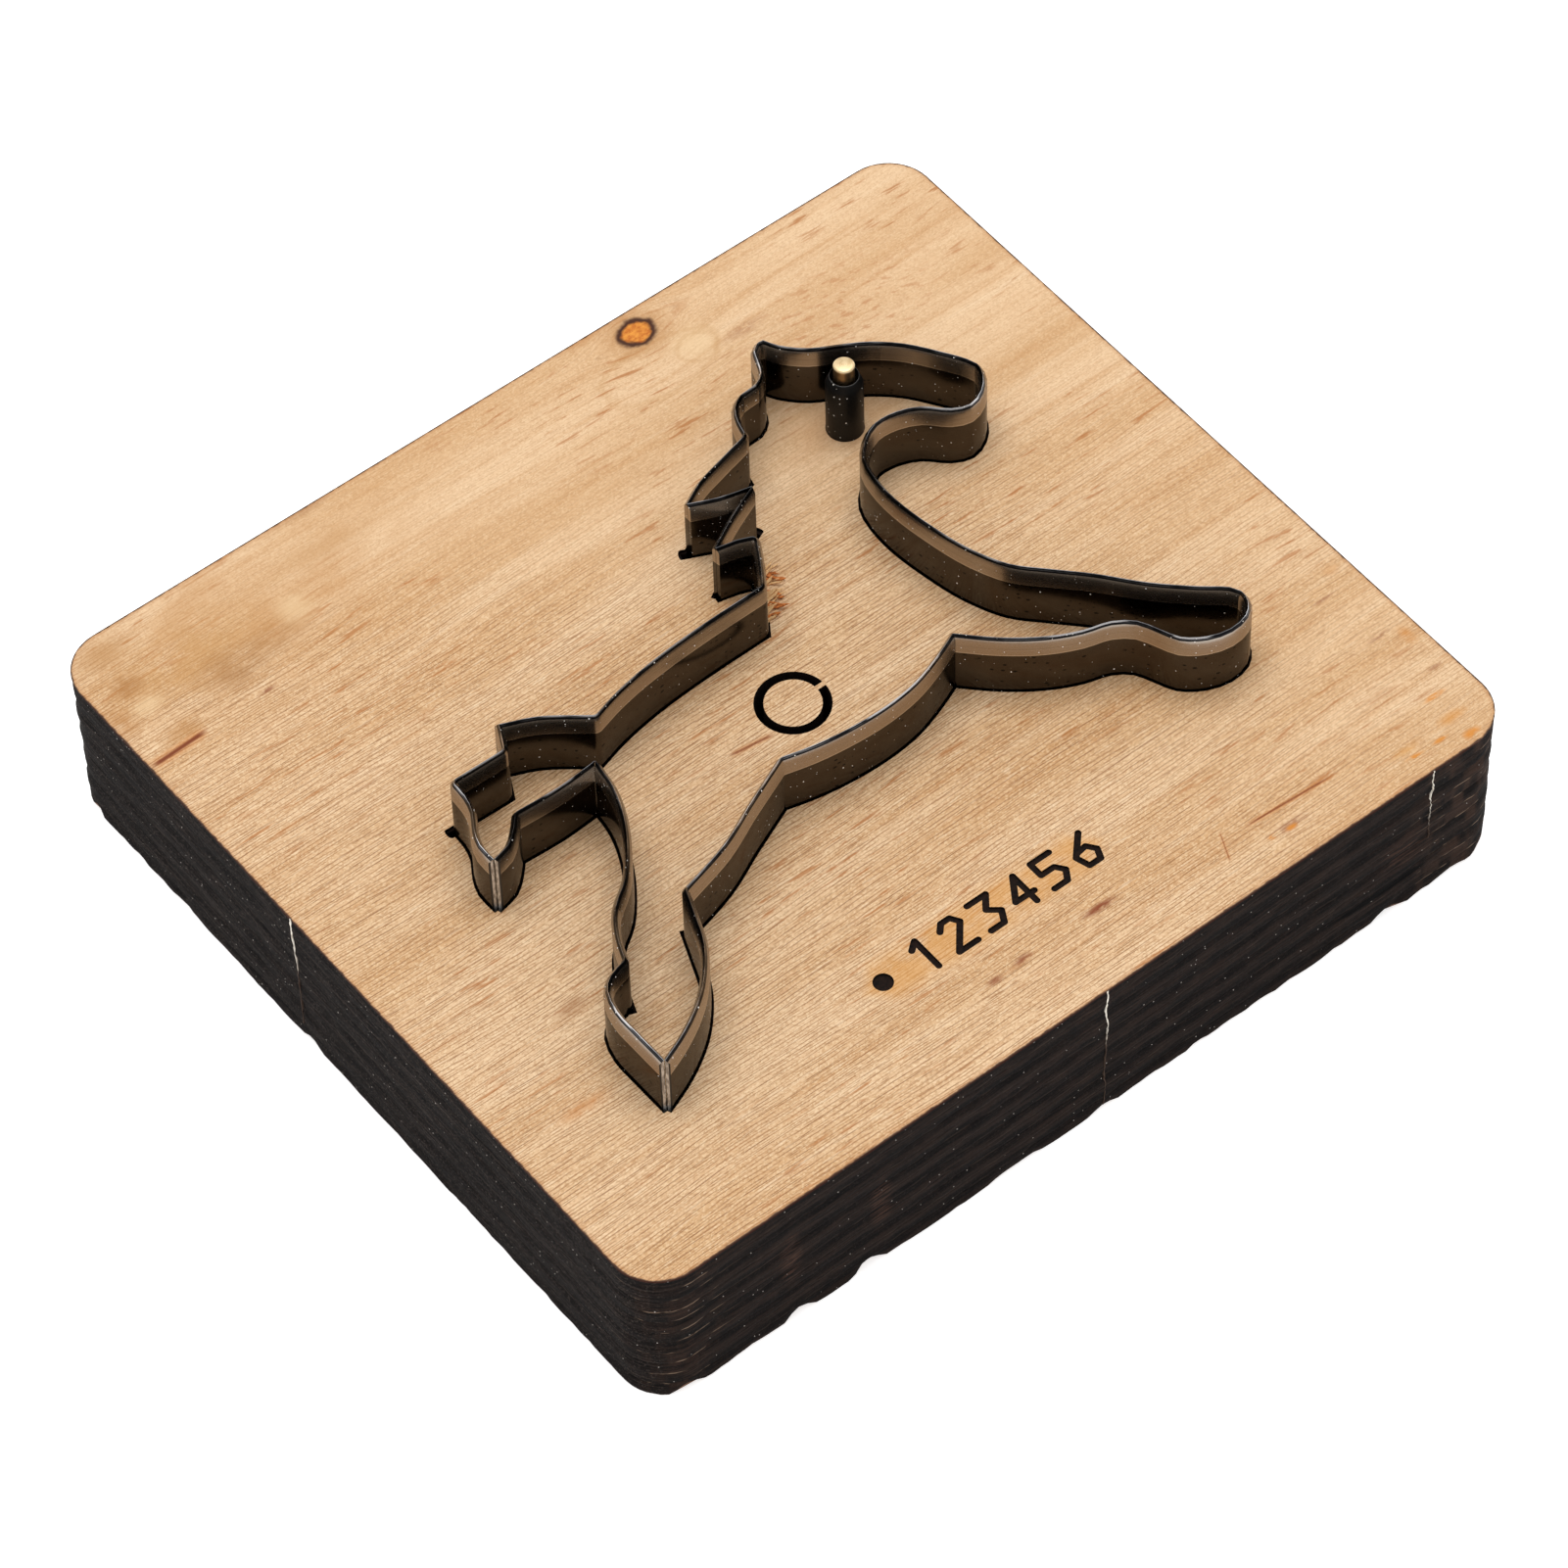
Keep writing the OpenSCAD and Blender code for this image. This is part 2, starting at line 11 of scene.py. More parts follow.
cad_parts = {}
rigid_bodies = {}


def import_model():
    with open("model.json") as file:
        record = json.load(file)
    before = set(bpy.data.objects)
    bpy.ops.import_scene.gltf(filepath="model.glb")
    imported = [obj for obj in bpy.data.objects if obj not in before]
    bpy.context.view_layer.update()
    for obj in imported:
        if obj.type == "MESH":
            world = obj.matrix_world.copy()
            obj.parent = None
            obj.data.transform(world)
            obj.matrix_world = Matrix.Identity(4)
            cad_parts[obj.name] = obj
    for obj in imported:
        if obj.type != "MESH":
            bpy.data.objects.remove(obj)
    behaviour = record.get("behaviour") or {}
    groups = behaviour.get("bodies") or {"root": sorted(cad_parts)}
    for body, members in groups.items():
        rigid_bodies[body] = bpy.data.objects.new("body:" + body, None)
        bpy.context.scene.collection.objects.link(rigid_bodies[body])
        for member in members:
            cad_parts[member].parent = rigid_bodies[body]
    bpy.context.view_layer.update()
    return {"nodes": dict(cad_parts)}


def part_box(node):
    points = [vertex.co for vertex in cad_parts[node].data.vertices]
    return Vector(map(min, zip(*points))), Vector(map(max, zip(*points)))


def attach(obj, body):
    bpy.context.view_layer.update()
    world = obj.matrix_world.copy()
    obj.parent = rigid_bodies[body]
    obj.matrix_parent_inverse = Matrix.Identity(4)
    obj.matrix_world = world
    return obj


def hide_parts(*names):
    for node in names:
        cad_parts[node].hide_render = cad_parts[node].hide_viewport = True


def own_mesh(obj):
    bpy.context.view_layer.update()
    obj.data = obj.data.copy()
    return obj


bl_info = {
    "name": "Steel Rule Die",
    "version": (1, 0, 0),
    "blender": (4, 5, 0),
    "location": "View3D > Sidebar > Rule Die",
    "description": "Finishes for a plywood die board with bent cutting rules and a spring-loaded eye punch",
    "category": "Object",
}

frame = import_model()

# Sizes below are in mm unless they say otherwise, and places are measured from the middle of the board.
MM = 0.001
MERGE = 2e-6

BOARD_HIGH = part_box("die_board")[1]
BOARD_TOP = BOARD_HIGH.z / MM
BOARD_HALF = (BOARD_HIGH.x / MM, BOARD_HIGH.y / MM)
BOARD_CORNER = 4.5
RULE_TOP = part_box("belly_rule")[1].z / MM
PUNCH_LOW, PUNCH_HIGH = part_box("punch_body")
PUNCH_AXIS = ((PUNCH_LOW + PUNCH_HIGH) / 2).to_2d() / MM
PUNCH_TOP = PUNCH_HIGH.z / MM
PIN_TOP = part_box("ejector_pin")[1].z / MM

RULES = {
    "head_foreleg_rule": "rule_head_and_foreleg",
    "belly_rule": "rule_belly",
    "hind_leg_rule": "rule_hind_leg",
    "tail_under_rule": "rule_tail_underside",
    "tail_end_rule": "rule_tail_end",
    "back_rule": "rule_back",
    "mane_lower_rule": "rule_lower_mane",
    "mane_middle_rule": "rule_middle_mane",
    "mane_upper_rule": "rule_upper_mane",
}

# Bends below these angles are shaded as curves.
BOARD_SMOOTH = math.radians(38)
TURNED_SMOOTH = math.radians(35)
WIRE_SMOOTH = math.radians(60)
TORN_SMOOTH = math.radians(30)

# Edges above this angle are softened on turned pieces.
SHARP_ANGLE = math.radians(40)

# The board's finishes by their places in its list.
UPPER, WALL, KERF, UNDERSIDE = range(4)

# The burnt wall: the length in metres that is cut into steps, how far from the outline a face and then a
# point still count as wall, the least burn, and the heights over which a chip and the burn fade out.
WALL_RUN = 0.08
WALL_DEPTH = 0.45
WALL_REACH = 0.12
LEAST_BURN = 0.03
CHIP_FADE = 1.3
TOP_FADE = 0.6

# Chips out of the board's lower edge: side, place along it, half width and height.
CHIPS = (
    ("front", -42.5, 1.6, 0.55), ("front", -31.2, 1.5, 0.6), ("front", -23.9, 1.7, 0.65),
    ("front", -8.0, 3.5, 0.2), ("front", 1.6, 1.3, 0.3), ("front", 11.4, 0.9, 0.2),
    ("front", 33.2, 1.8, 0.5), ("front", 40.0, 2.0, 0.3), ("left", 37.6, 0.9, 0.5),
    ("left", 24.8, 1.4, 0.2), ("left", 5.7, 1.2, 0.4), ("left", 31.0, 0.8, 0.2),
    ("back", -28.0, 1.9, 0.45), ("back", 6.5, 1.3, 0.35), ("back", 29.0, 1.5, 0.5),
    ("right", -22.0, 1.6, 0.4), ("right", 3.6, 1.2, 0.45), ("right", 27.0, 1.2, 0.3),
)

# Holding tabs that were snapped: side, place along it, length down from the top, width share and seed.
TABS = (
    ("left", 6.7, 15.2, 1.0, 3), ("front", 1.35, 16.4, 1.0, 8), ("front", 37.1, 9.5, 0.6, 5),
    ("right", 3.6, 15.0, 1.0, 11),
)
TAB_TURNS = {"right": 0, "back": 90, "left": 180, "front": 270}
TAB_ROWS = 48
TAB_WIDTH = 0.22
TAB_TAPER = 0.12
TAB_DEPTH = 0.4

# Torn fibres beside the back rule: where the pale and the rust-coloured ones start, how far they run, and
# the spans of their headings and pitches in degrees and of their shares of length and width.
FIBRE_SEED = 21
FIBRE_CUTS = 4
PALE_COUNT = 22
PALE_START = (3.6, 6.15)
RUST_START = (3.7, 6.2)
RUST_SHARES = (0.1, 0.24, 0.32, 0.36, 0.4, 0.47, 0.62, 0.84, 0.9, 0.94, 0.99)
FIBRE_RUN = (3.0, 4.6)
PALE_SPANS = ((-40, 24), (2, 16), (0.6, 1.3), (0.4, 0.8))
RUST_SPANS = ((-70, -10), (0, 14), (0.8, 1.5), (0.5, 1.1))

# Tips whose sawn rule ends show, and the way these ends face.
SAWN_TIPS = ((-33.85, -28.05), (-32.4, -3.3))
SAWN_WAY = (-0.58, -0.81)

# The butt joint at the ear's tip: its place, the way the head rule's end faces and the gap closed there.
EAR_JOINT = (19.6, 26.7)
EAR_WAY = (-0.79, 0.62)
EAR_GAP = 0.036

# Kerf mouths that the laser ran past a tip: the end's middle and the way it ran, and how it is rounded.
RUN_ONS = (((-31.0, 5.4), (-1.0, 0.0)), ((2.4, 16.7), (-0.9, 0.43)), ((9.3, 14.7), (0.9, 0.41)))
RUN_ON_BULGE = 0.25
RUN_ON_CUTS = 9

# The knot in the upper veneer and its radii.
KNOT = (14.9, 39.2)
KNOT_RADII = (1.65, 1.4)

# Stains on the upper veneer, and one painted shade inside the head: middle, radii, strength and colour.
STAINS_AND_HEAD_SHADE = (
    ((-37.0, 34.5), (11.0, 7.0), 0.5, (190, 140, 82)), ((-34.8, 31.0), (5.5, 3.6), 0.5, (156, 106, 56)),
    ((-30.0, 31.6), (5.0, 2.6), 0.45, (168, 118, 66)), ((-43.1, 35.3), (2.4, 2.0), 0.65, (164, 108, 48)),
    ((-42.8, 39.5), (4.4, 2.6), 0.5, (176, 124, 66)), ((-41.7, 28.3), (3.6, 1.6), 0.5, (176, 122, 62)),
    ((-45.4, 32.2), (1.8, 3.0), 0.5, (176, 120, 62)), ((-22.0, 37.0), (9.0, 2.6), 0.4, (186, 136, 82)),
    ((-20.0, 42.0), (5.5, 1.5), 0.6, (150, 98, 52)), ((10.5, 41.6), (4.0, 1.2), 0.4, (180, 122, 62)),
    ((42.0, -38.4), (2.2, 0.9), 0.55, (206, 138, 54)), ((37.0, -38.6), (2.6, 0.6), 0.5, (206, 146, 70)),
    ((-38.9, -23.8), (3.4, 1.2), 0.6, (196, 128, 64)), ((-33.7, -15.2), (2.6, 1.3), 0.6, (156, 104, 60)),
    # The blot at (22.0, 19.5) is painted shade: it darkens and warms the wood inside the head's rules.
    ((22.0, 19.5), (9.0, 6.5), 0.45, (190, 138, 88)), ((45.0, -29.5), (0.9, 1.6), 0.6, (200, 132, 60)),
    ((44.6, -20.0), (1.2, 0.9), 0.4, (196, 134, 70)),
)

# Pale spots: middle and radii.
PALE_SPOTS = (((-42.7, 32.6), (2.2, 1.5)), ((-26.8, 33.2), (2.6, 2.4)), ((18.2, 35.0), (3.4, 3.0)))

# Dark flecks: middle, radii and strength.
FLECKS = (
    ((6.2, -34.8), (2.6, 0.6), 1.0), ((-2.0, -34.9), (1.4, 0.6), 0.8), ((-5.2, -35.1), (1.2, 0.6), 0.7),
    ((24.0, -38.4), (2.6, 0.7), 0.55), ((-33.9, 27.4), (1.3, 0.3), 0.8), ((22.5, 33.5), (3.4, 1.0), 0.3),
    ((43.0, -28.0), (1.8, 0.35), 0.5), ((44.5, -33.5), (1.2, 0.3), 0.5), ((42.0, -22.0), (1.6, 0.3), 0.5),
)

# Resin flecks: middle and radii.
RESIN = (
    ((42.2, -40.7), (1.3, 0.7)), ((39.7, -39.6), (1.1, 0.35)), ((42.4, -35.8), (1.6, 0.4)),
    ((36.8, -39.6), (1.3, 0.4)), ((24.0, -38.6), (0.9, 0.4)), ((22.1, -38.4), (0.7, 0.35)),
)

# Faint loops of grain below the knot: middle, radii and width as a share of them.
LOOPS = (((14.2, 34.6), (6.0, 2.9), 0.12), ((18.0, 34.4), (2.0, 1.6), 0.22))

# Cracks: start, end, half width and strength.
CRACKS = (
    ((-46.6, 26.9), (-40.0, 27.2), 0.34, 0.95), ((-8.0, -3.0), (-3.2, -3.6), 0.2, 0.75),
    ((20.6, -36.1), (30.5, -36.7), 0.16, 0.8), ((19.1, -35.0), (17.6, -38.3), 0.1, 0.55),
)

# Torn places on the front wall: middle along the board and up it, and radii.
SCARS = (((-22.6, 8.5), (1.6, 5.0)), ((-32.0, 9.0), (1.6, 5.0)), ((34.5, 8.0), (4.0, 3.0)))

# The stage, in metres: floor, softbox, and the camera's place with its right, up and back directions.
FLOOR_SIZE = 6
FLOOR_DROP = 0.00005
SOFTBOX_PLACE = (0.06, 0.14, 0.8)
SOFTBOX_SIZE = (0.7, 0.5)
CAMERA_PLACE = (-0.2141, -0.285, 0.4766)
CAMERA_RIGHT = (0.7833, -0.6214, -0.0196)
CAMERA_UP = (0.5057, 0.6185, 0.6014)
CAMERA_BACK = (-0.3616, -0.4809, 0.7987)
SENSOR_WIDTH = 36


def tone(red, green, blue):
    """A linear colour from its eight-bit display values."""
    shares = [value / 255 for value in (red, green, blue)]
    return tuple(s / 12.92 if s < 11 / 255 else ((s + 0.055) / 1.055) ** 2.4 for s in shares) + (1,)


def dimmed(colour, share):
    """A linear colour at a share of its brightness."""
    return tuple(share * value for value in colour[:3]) + (1,)


class BoardSettings(PropertyGroup):
    """Sizes and colours of the plywood board."""

    plies: IntProperty(name="Plies", description="Layers of veneer in the board", default=11, min=3, max=21)
    burn_depth: FloatProperty(
        name="Burn Depth", description="How deep the laser ate into every second ply",
        default=0.00014, unit="LENGTH", precision=5)
    wall_step: FloatProperty(
        name="Wall Step", description="Spacing of the mesh along the burnt wall",
        default=0.0005, unit="LENGTH", precision=5)
    wall_rows: IntProperty(
        name="Wall Rows", description="Rows of mesh up the burnt wall", default=44, min=8, max=120)
    pale_wood: FloatVectorProperty(
        name="Pale Wood", description="Light early wood of the face veneer",
        subtype="COLOR", size=4, default=tone(226, 191, 151))
    warm_wood: FloatVectorProperty(
        name="Warm Wood", description="Darker bands of the face veneer",
        subtype="COLOR", size=4, default=tone(211, 170, 125))
    char: FloatVectorProperty(
        name="Char", description="Burnt wood of walls and kerfs",
        subtype="COLOR", size=4, default=tone(9, 7, 7))


class RuleSettings(PropertyGroup):
    """Sizes and colours of the cutting rules."""

    ground_band: FloatProperty(
        name="Ground Band", description="Height of the bright ground band below the bevel",
        default=0.0015, unit="LENGTH", precision=5)
    bevel: FloatProperty(
        name="Bevel", description="Height of the cutting bevel", default=0.0006, unit="LENGTH", precision=5)
    smooth_angle: FloatProperty(
        name="Smooth Angle", description="Bends below this angle are shaded as one curve",
        default=math.radians(32), subtype="ANGLE")
    oxide: FloatVectorProperty(
        name="Oxide", description="Reflection of the dark lower part",
        subtype="COLOR", size=4, default=(0.07, 0.06, 0.05, 1))
    ground: FloatVectorProperty(
        name="Ground Steel", description="Reflection of the ground band",
        subtype="COLOR", size=4, default=(0.385, 0.335, 0.285, 1))


class PunchSettings(PropertyGroup):
    """Sizes and colours of the eye punch."""

    edge_round: FloatProperty(
        name="Edge Round", description="Radius that softens the turned edges",
        default=0.00004, unit="LENGTH", precision=5)
    black: FloatVectorProperty(
        name="Black Oxide", description="Finish of the punch tube",
        subtype="COLOR", size=4, default=tone(16, 15, 14))
    brass: FloatVectorProperty(
        name="Brass", description="Finish of the ejector pin",
        subtype="COLOR", size=4, default=tone(244, 220, 176))


class FibreSettings(PropertyGroup):
    """Sizes and colours of the torn wood."""

    fibre_length: FloatProperty(
        name="Fibre Length", description="Length of one torn fibre",
        default=0.0015, unit="LENGTH", precision=5)
    pale: FloatVectorProperty(
        name="Pale Fibre", description="Fresh torn wood",
        subtype="COLOR", size=4, default=tone(232, 188, 134))
    rust: FloatVectorProperty(
        name="Rust Fibre", description="Resin-stained torn wood",
        subtype="COLOR", size=4, default=tone(206, 122, 62))


class StageSettings(PropertyGroup):
    """Camera, floor and light."""

    lens: FloatProperty(name="Lens", description="Focal length on a 36 mm sensor, in mm", default=157.2)
    floor: FloatVectorProperty(
        name="Floor", description="Colour of the floor",
        subtype="COLOR", size=4, default=(0.93, 0.93, 0.93, 1))
    glow: FloatProperty(name="Glow", description="Light that the lit table gives off", default=0.6)
    dome: FloatProperty(name="Dome", description="Strength of the light from all round", default=0.72)
    softbox: FloatProperty(
        name="Softbox", description="Power of the overhead softbox", default=3.75, subtype="POWER")


class DieSettings(PropertyGroup):
    """All settings of the die."""

    board: PointerProperty(type=BoardSettings, name="Board", description="Plywood board")
    rules: PointerProperty(type=RuleSettings, name="Rules", description="Cutting rules")
    punch: PointerProperty(type=PunchSettings, name="Punch", description="Eye punch")
    fibres: PointerProperty(type=FibreSettings, name="Torn Wood", description="Torn fibres and tabs")
    stage: PointerProperty(type=StageSettings, name="Stage", description="Floor, light and camera")


def settings():
    """The die's settings in the current scene."""
    return bpy.context.scene.steel_rule_die


class Wire:
    """A shader socket that takes part in Python arithmetic."""

    def __init__(self, finish, socket):
        self.finish = finish
        self.socket = socket

    def maths(self, operation, *others):
        """One Math node with this socket first."""
        inputs = dict(enumerate((self, *others)))
        return self.finish.node("ShaderNodeMath", {"operation": operation}, inputs)

    def reflected(self, operation, first):
        """One Math node with this socket second."""
        return self.finish.node("ShaderNodeMath", {"operation": operation}, {0: first, 1: self})

    def step(self, low, high):
        """A smooth rise from 0 at low to 1 at high, or a fall where low is the larger."""
        first, last = (0.0, 1.0) if low < high else (1.0, 0.0)
        inputs = {"Value": self, "From Min": min(low, high), "From Max": max(low, high),
                  "To Min": first, "To Max": last}
        return self.finish.node("ShaderNodeMapRange", {"interpolation_type": "SMOOTHSTEP"}, inputs)

    def __add__(self, other):
        return self.maths("ADD", other)

    __radd__ = __add__

    def __sub__(self, other):
        return self.maths("SUBTRACT", other)

    def __rsub__(self, other):
        return self.reflected("SUBTRACT", other)

    def __mul__(self, other):
        return self.maths("MULTIPLY", other)

    def __truediv__(self, other):
        return self.maths("DIVIDE", other)

    def __neg__(self):
        return self.reflected("SUBTRACT", 0)

    def __abs__(self):
        return self.maths("ABSOLUTE")

    def __pow__(self, other):
        return self.maths("POWER", other)


class Finish:
    """A material whose nodes are added by name."""

    def __init__(self, name):
        self.material = bpy.data.materials.new(name)
        self.material.use_nodes = True
        self.tree = self.material.node_tree
        self.shader = self.tree.nodes["Principled BSDF"]

    def fill(self, socket, value):
        """Links a wire to a socket, or sets the socket to a value."""
        if isinstance(value, Wire):
            self.tree.links.new(value.socket, socket)
        else:
            socket.default_value = value

    def node(self, kind, options=None, inputs=None, output=0):
        """Adds a node, sets its options, then fills its sockets by values or links."""
        made = self.tree.nodes.new(kind)
        for name, value in (options or {}).items():
            setattr(made, name, value)
        for name, value in (inputs or {}).items():
            self.fill(made.inputs[name], value)
        return Wire(self, made.outputs[output])

    def surface(self, **inputs):
        """Fills sockets of the shader, whose spaces are written as underscores, and gives the material."""
        for name, value in inputs.items():
            self.fill(self.shader.inputs[name.replace("_", " ")], value)
        return self.material

    def place(self):
        """Object coordinates in millimetres, as three numbers."""
        point = self.node("ShaderNodeTexCoord", output="Object")
        point = self.node("ShaderNodeVectorMath", {"operation": "SCALE"}, {0: point, "Scale": 1 / MM})
        return [self.node("ShaderNodeSeparateXYZ", {}, {0: point}, axis) for axis in "XYZ"]

    def vector(self, x, y, z):
        """Three numbers as one vector."""
        return self.node("ShaderNodeCombineXYZ", {}, {"X": x, "Y": y, "Z": z})

    def cloud(self, x, y, z, detail=2.0, roughness=0.5):
        """Noise from 0 to 1 at a point."""
        inputs = {"Vector": self.vector(x, y, z), "Scale": 1.0, "Detail": detail, "Roughness": roughness}
        return self.node("ShaderNodeTexNoise", {}, inputs)

    def mix(self, share, first, second):
        """Two colours mixed."""
        options = {"data_type": "RGBA", "blend_type": "MIX"}
        return self.node("ShaderNodeMix", options, {0: share, 6: first, 7: second}, 2)

    def layers(self, colour, *coats):
        """Coats over a colour, each a share with eight-bit display values or a linear colour with alpha."""
        for share, coat in coats:
            colour = self.mix(share, colour, tone(*coat) if len(coat) == 3 else coat)
        return colour

    def specks(self, x, y, z, spacing, radius, share, salt):
        """Round specks of one radius in a share of cells of one spacing, all in mm."""
        point = self.vector(x / spacing + salt, y / spacing, z / spacing)
        near = self.node("ShaderNodeTexVoronoi", {}, {"Vector": point, "Scale": 1.0}, "Distance")
        cell = self.node("ShaderNodeTexVoronoi", {}, {"Vector": point, "Scale": 1.0}, "Color")
        chosen = self.node("ShaderNodeSeparateColor", {}, {0: cell}, "Red").maths("LESS_THAN", share)
        size = self.node("ShaderNodeSeparateColor", {}, {0: cell}, "Green") * 0.8 + 0.4
        return (near * spacing / size).step(radius, radius * 0.7) * chosen

    def grit(self, x, y, z, spacing):
        """A random number from 0 to 1 for each cell of one spacing in mm."""
        point = self.vector(x / spacing, y / spacing, z / spacing)
        cell = self.node("ShaderNodeTexVoronoi", {}, {"Vector": point, "Scale": 1.0}, "Color")
        return self.node("ShaderNodeSeparateColor", {}, {0: cell}, "Red")

    def bump(self, height, distance, strength):
        """A normal from a height between 0 and 1 that stands for a distance in mm."""
        inputs = {"Strength": strength, "Distance": distance * MM, "Height": height}
        return self.node("ShaderNodeBump", {}, inputs)


def oval(x, y, centre, radii, soft):
    """1 inside an oval, falling to 0 at its rim over a soft share of it."""
    across = (x - centre[0]) / radii[0]
    along = (y - centre[1]) / radii[1]
    return ((across * across + along * along) ** 0.5).step(1.0, 1.0 - soft)


def line(x, y, start, end, width):
    """1 on a thin straight line on the board's face, falling to 0 at its width."""
    run = Vector((end[0] - start[0], end[1] - start[1]))
    middle = ((start[0] + end[0]) / 2, (start[1] + end[1]) / 2)
    way = run.normalized()
    along = (x - middle[0]) * way.x + (y - middle[1]) * way.y
    across = (y - middle[1]) * way.x - (x - middle[0]) * way.y
    half = run.length / 2
    return abs(across).step(width, width * 0.2) * abs(along).step(half, half * 0.6)


def edge_distance(x, y):
    """Distance in mm from the board's outline, inwards."""
    over_x = (abs(x) - (BOARD_HALF[0] - BOARD_CORNER)).maths("MAXIMUM", 0)
    over_y = (abs(y) - (BOARD_HALF[1] - BOARD_CORNER)).maths("MAXIMUM", 0)
    return BOARD_CORNER - (over_x * over_x + over_y * over_y) ** 0.5


def veneer(name, upper):
    """Rotary-cut face veneer with its grain along X."""
    look = settings().board
    finish = Finish(name)
    x, y, _ = finish.place()
    aside = x - KNOT[0]
    above = y - KNOT[1]
    pull = (-(aside * aside) / 26 - abs(above) / 4.2).maths("EXPONENT")
    row = y - pull * 3.2 * above / (abs(above) + 0.8)
    row = row + (finish.cloud(x * 0.02, row * 0.05, 2.0) - 0.5) * 2.4
    broad = finish.cloud(x * 0.02, row * 0.16, 3.0, 3)
    bands = finish.cloud(x * 0.03, row * 0.8, 11.0, 4, 0.6)
    coarse = (row * 2.2 + finish.cloud(x * 0.03, row * 0.25, 5.0, 2) * 3).maths("FRACT")
    close = (row * 3.6 + finish.cloud(x * 0.06, row * 0.5, 17.0, 2) * 4).maths("FRACT")
    broken = finish.cloud(x * 0.36, row * 2.8, 23.0, 3)
    sand = finish.grit(x * 0.8, y, 1.0, 0.13)
    crisp = (y + (x + x.maths("MINIMUM", 0)) * 0.25).step(28, 8) * 0.75 + 0.25
    crisp = crisp * (x.step(42, 12) * 0.45 + 0.55)
    gritty = crisp * 0.2 + 0.16
    traced = abs(coarse - 0.5).step(0.12, 0.04) * broken.step(0.44, 0.56) * crisp
    fine = abs(close - 0.5).step(0.2, 0.06) * broken.step(0.58, 0.44) * crisp
    dashes = finish.cloud(x * 0.22, row * 1.9, 29.0, 3).step(0.58, 0.68)
    patch = finish.cloud(x * 0.05, row * 0.09, 37.0, 2).step(0.42, 0.62)
    colour = finish.layers(
        finish.mix(broad.step(0.34, 0.66), tuple(look.pale_wood), tuple(look.warm_wood)),
        (bands.step(0.48, 0.72) * 0.46, (190, 138, 86)), (bands.step(0.45, 0.24) * 0.4, (236, 208, 172)),
        (sand.step(0.55, 1.0) * gritty, (248, 222, 182)), (sand.step(0.5, 0.0) * gritty, (162, 116, 70)),
        (traced * 0.72, (120, 68, 28)), (fine * 0.7, (142, 90, 44)),
        (broken.step(0.42, 0.28) * crisp * 0.35, (246, 222, 188)), (dashes * patch * 0.75, (174, 110, 56)))
    edge = edge_distance(x, y)
    if upper:
        colour = face_marks(finish, colour, x, y, row)
    else:
        smoke = finish.cloud(x * 0.08, y * 0.12, 7.0, 3).step(0.4, 0.7)
        colour = finish.layers(colour, (smoke * 0.35, (120, 84, 56)), (edge.step(2.6, 0.4), (34, 26, 22)))
    rim = edge + (finish.cloud(x * 1.3, y * 1.3, 4.0, 3) - 0.5) * 0.3
    colour = finish.layers(
        colour, (rim.step(0.6, 0.08) * 0.4, (180, 120, 70)), (rim.step(0.24, 0.06) * 0.95, (48, 27, 19)))
    height = sand * 0.4 - traced * 0.5 - fine * 0.3
    return finish.surface(Base_Color=colour, Roughness=0.5 + bands * 0.3, Specular_IOR_Level=0.25,
                          Normal=finish.bump(height, 0.04, 0.6))


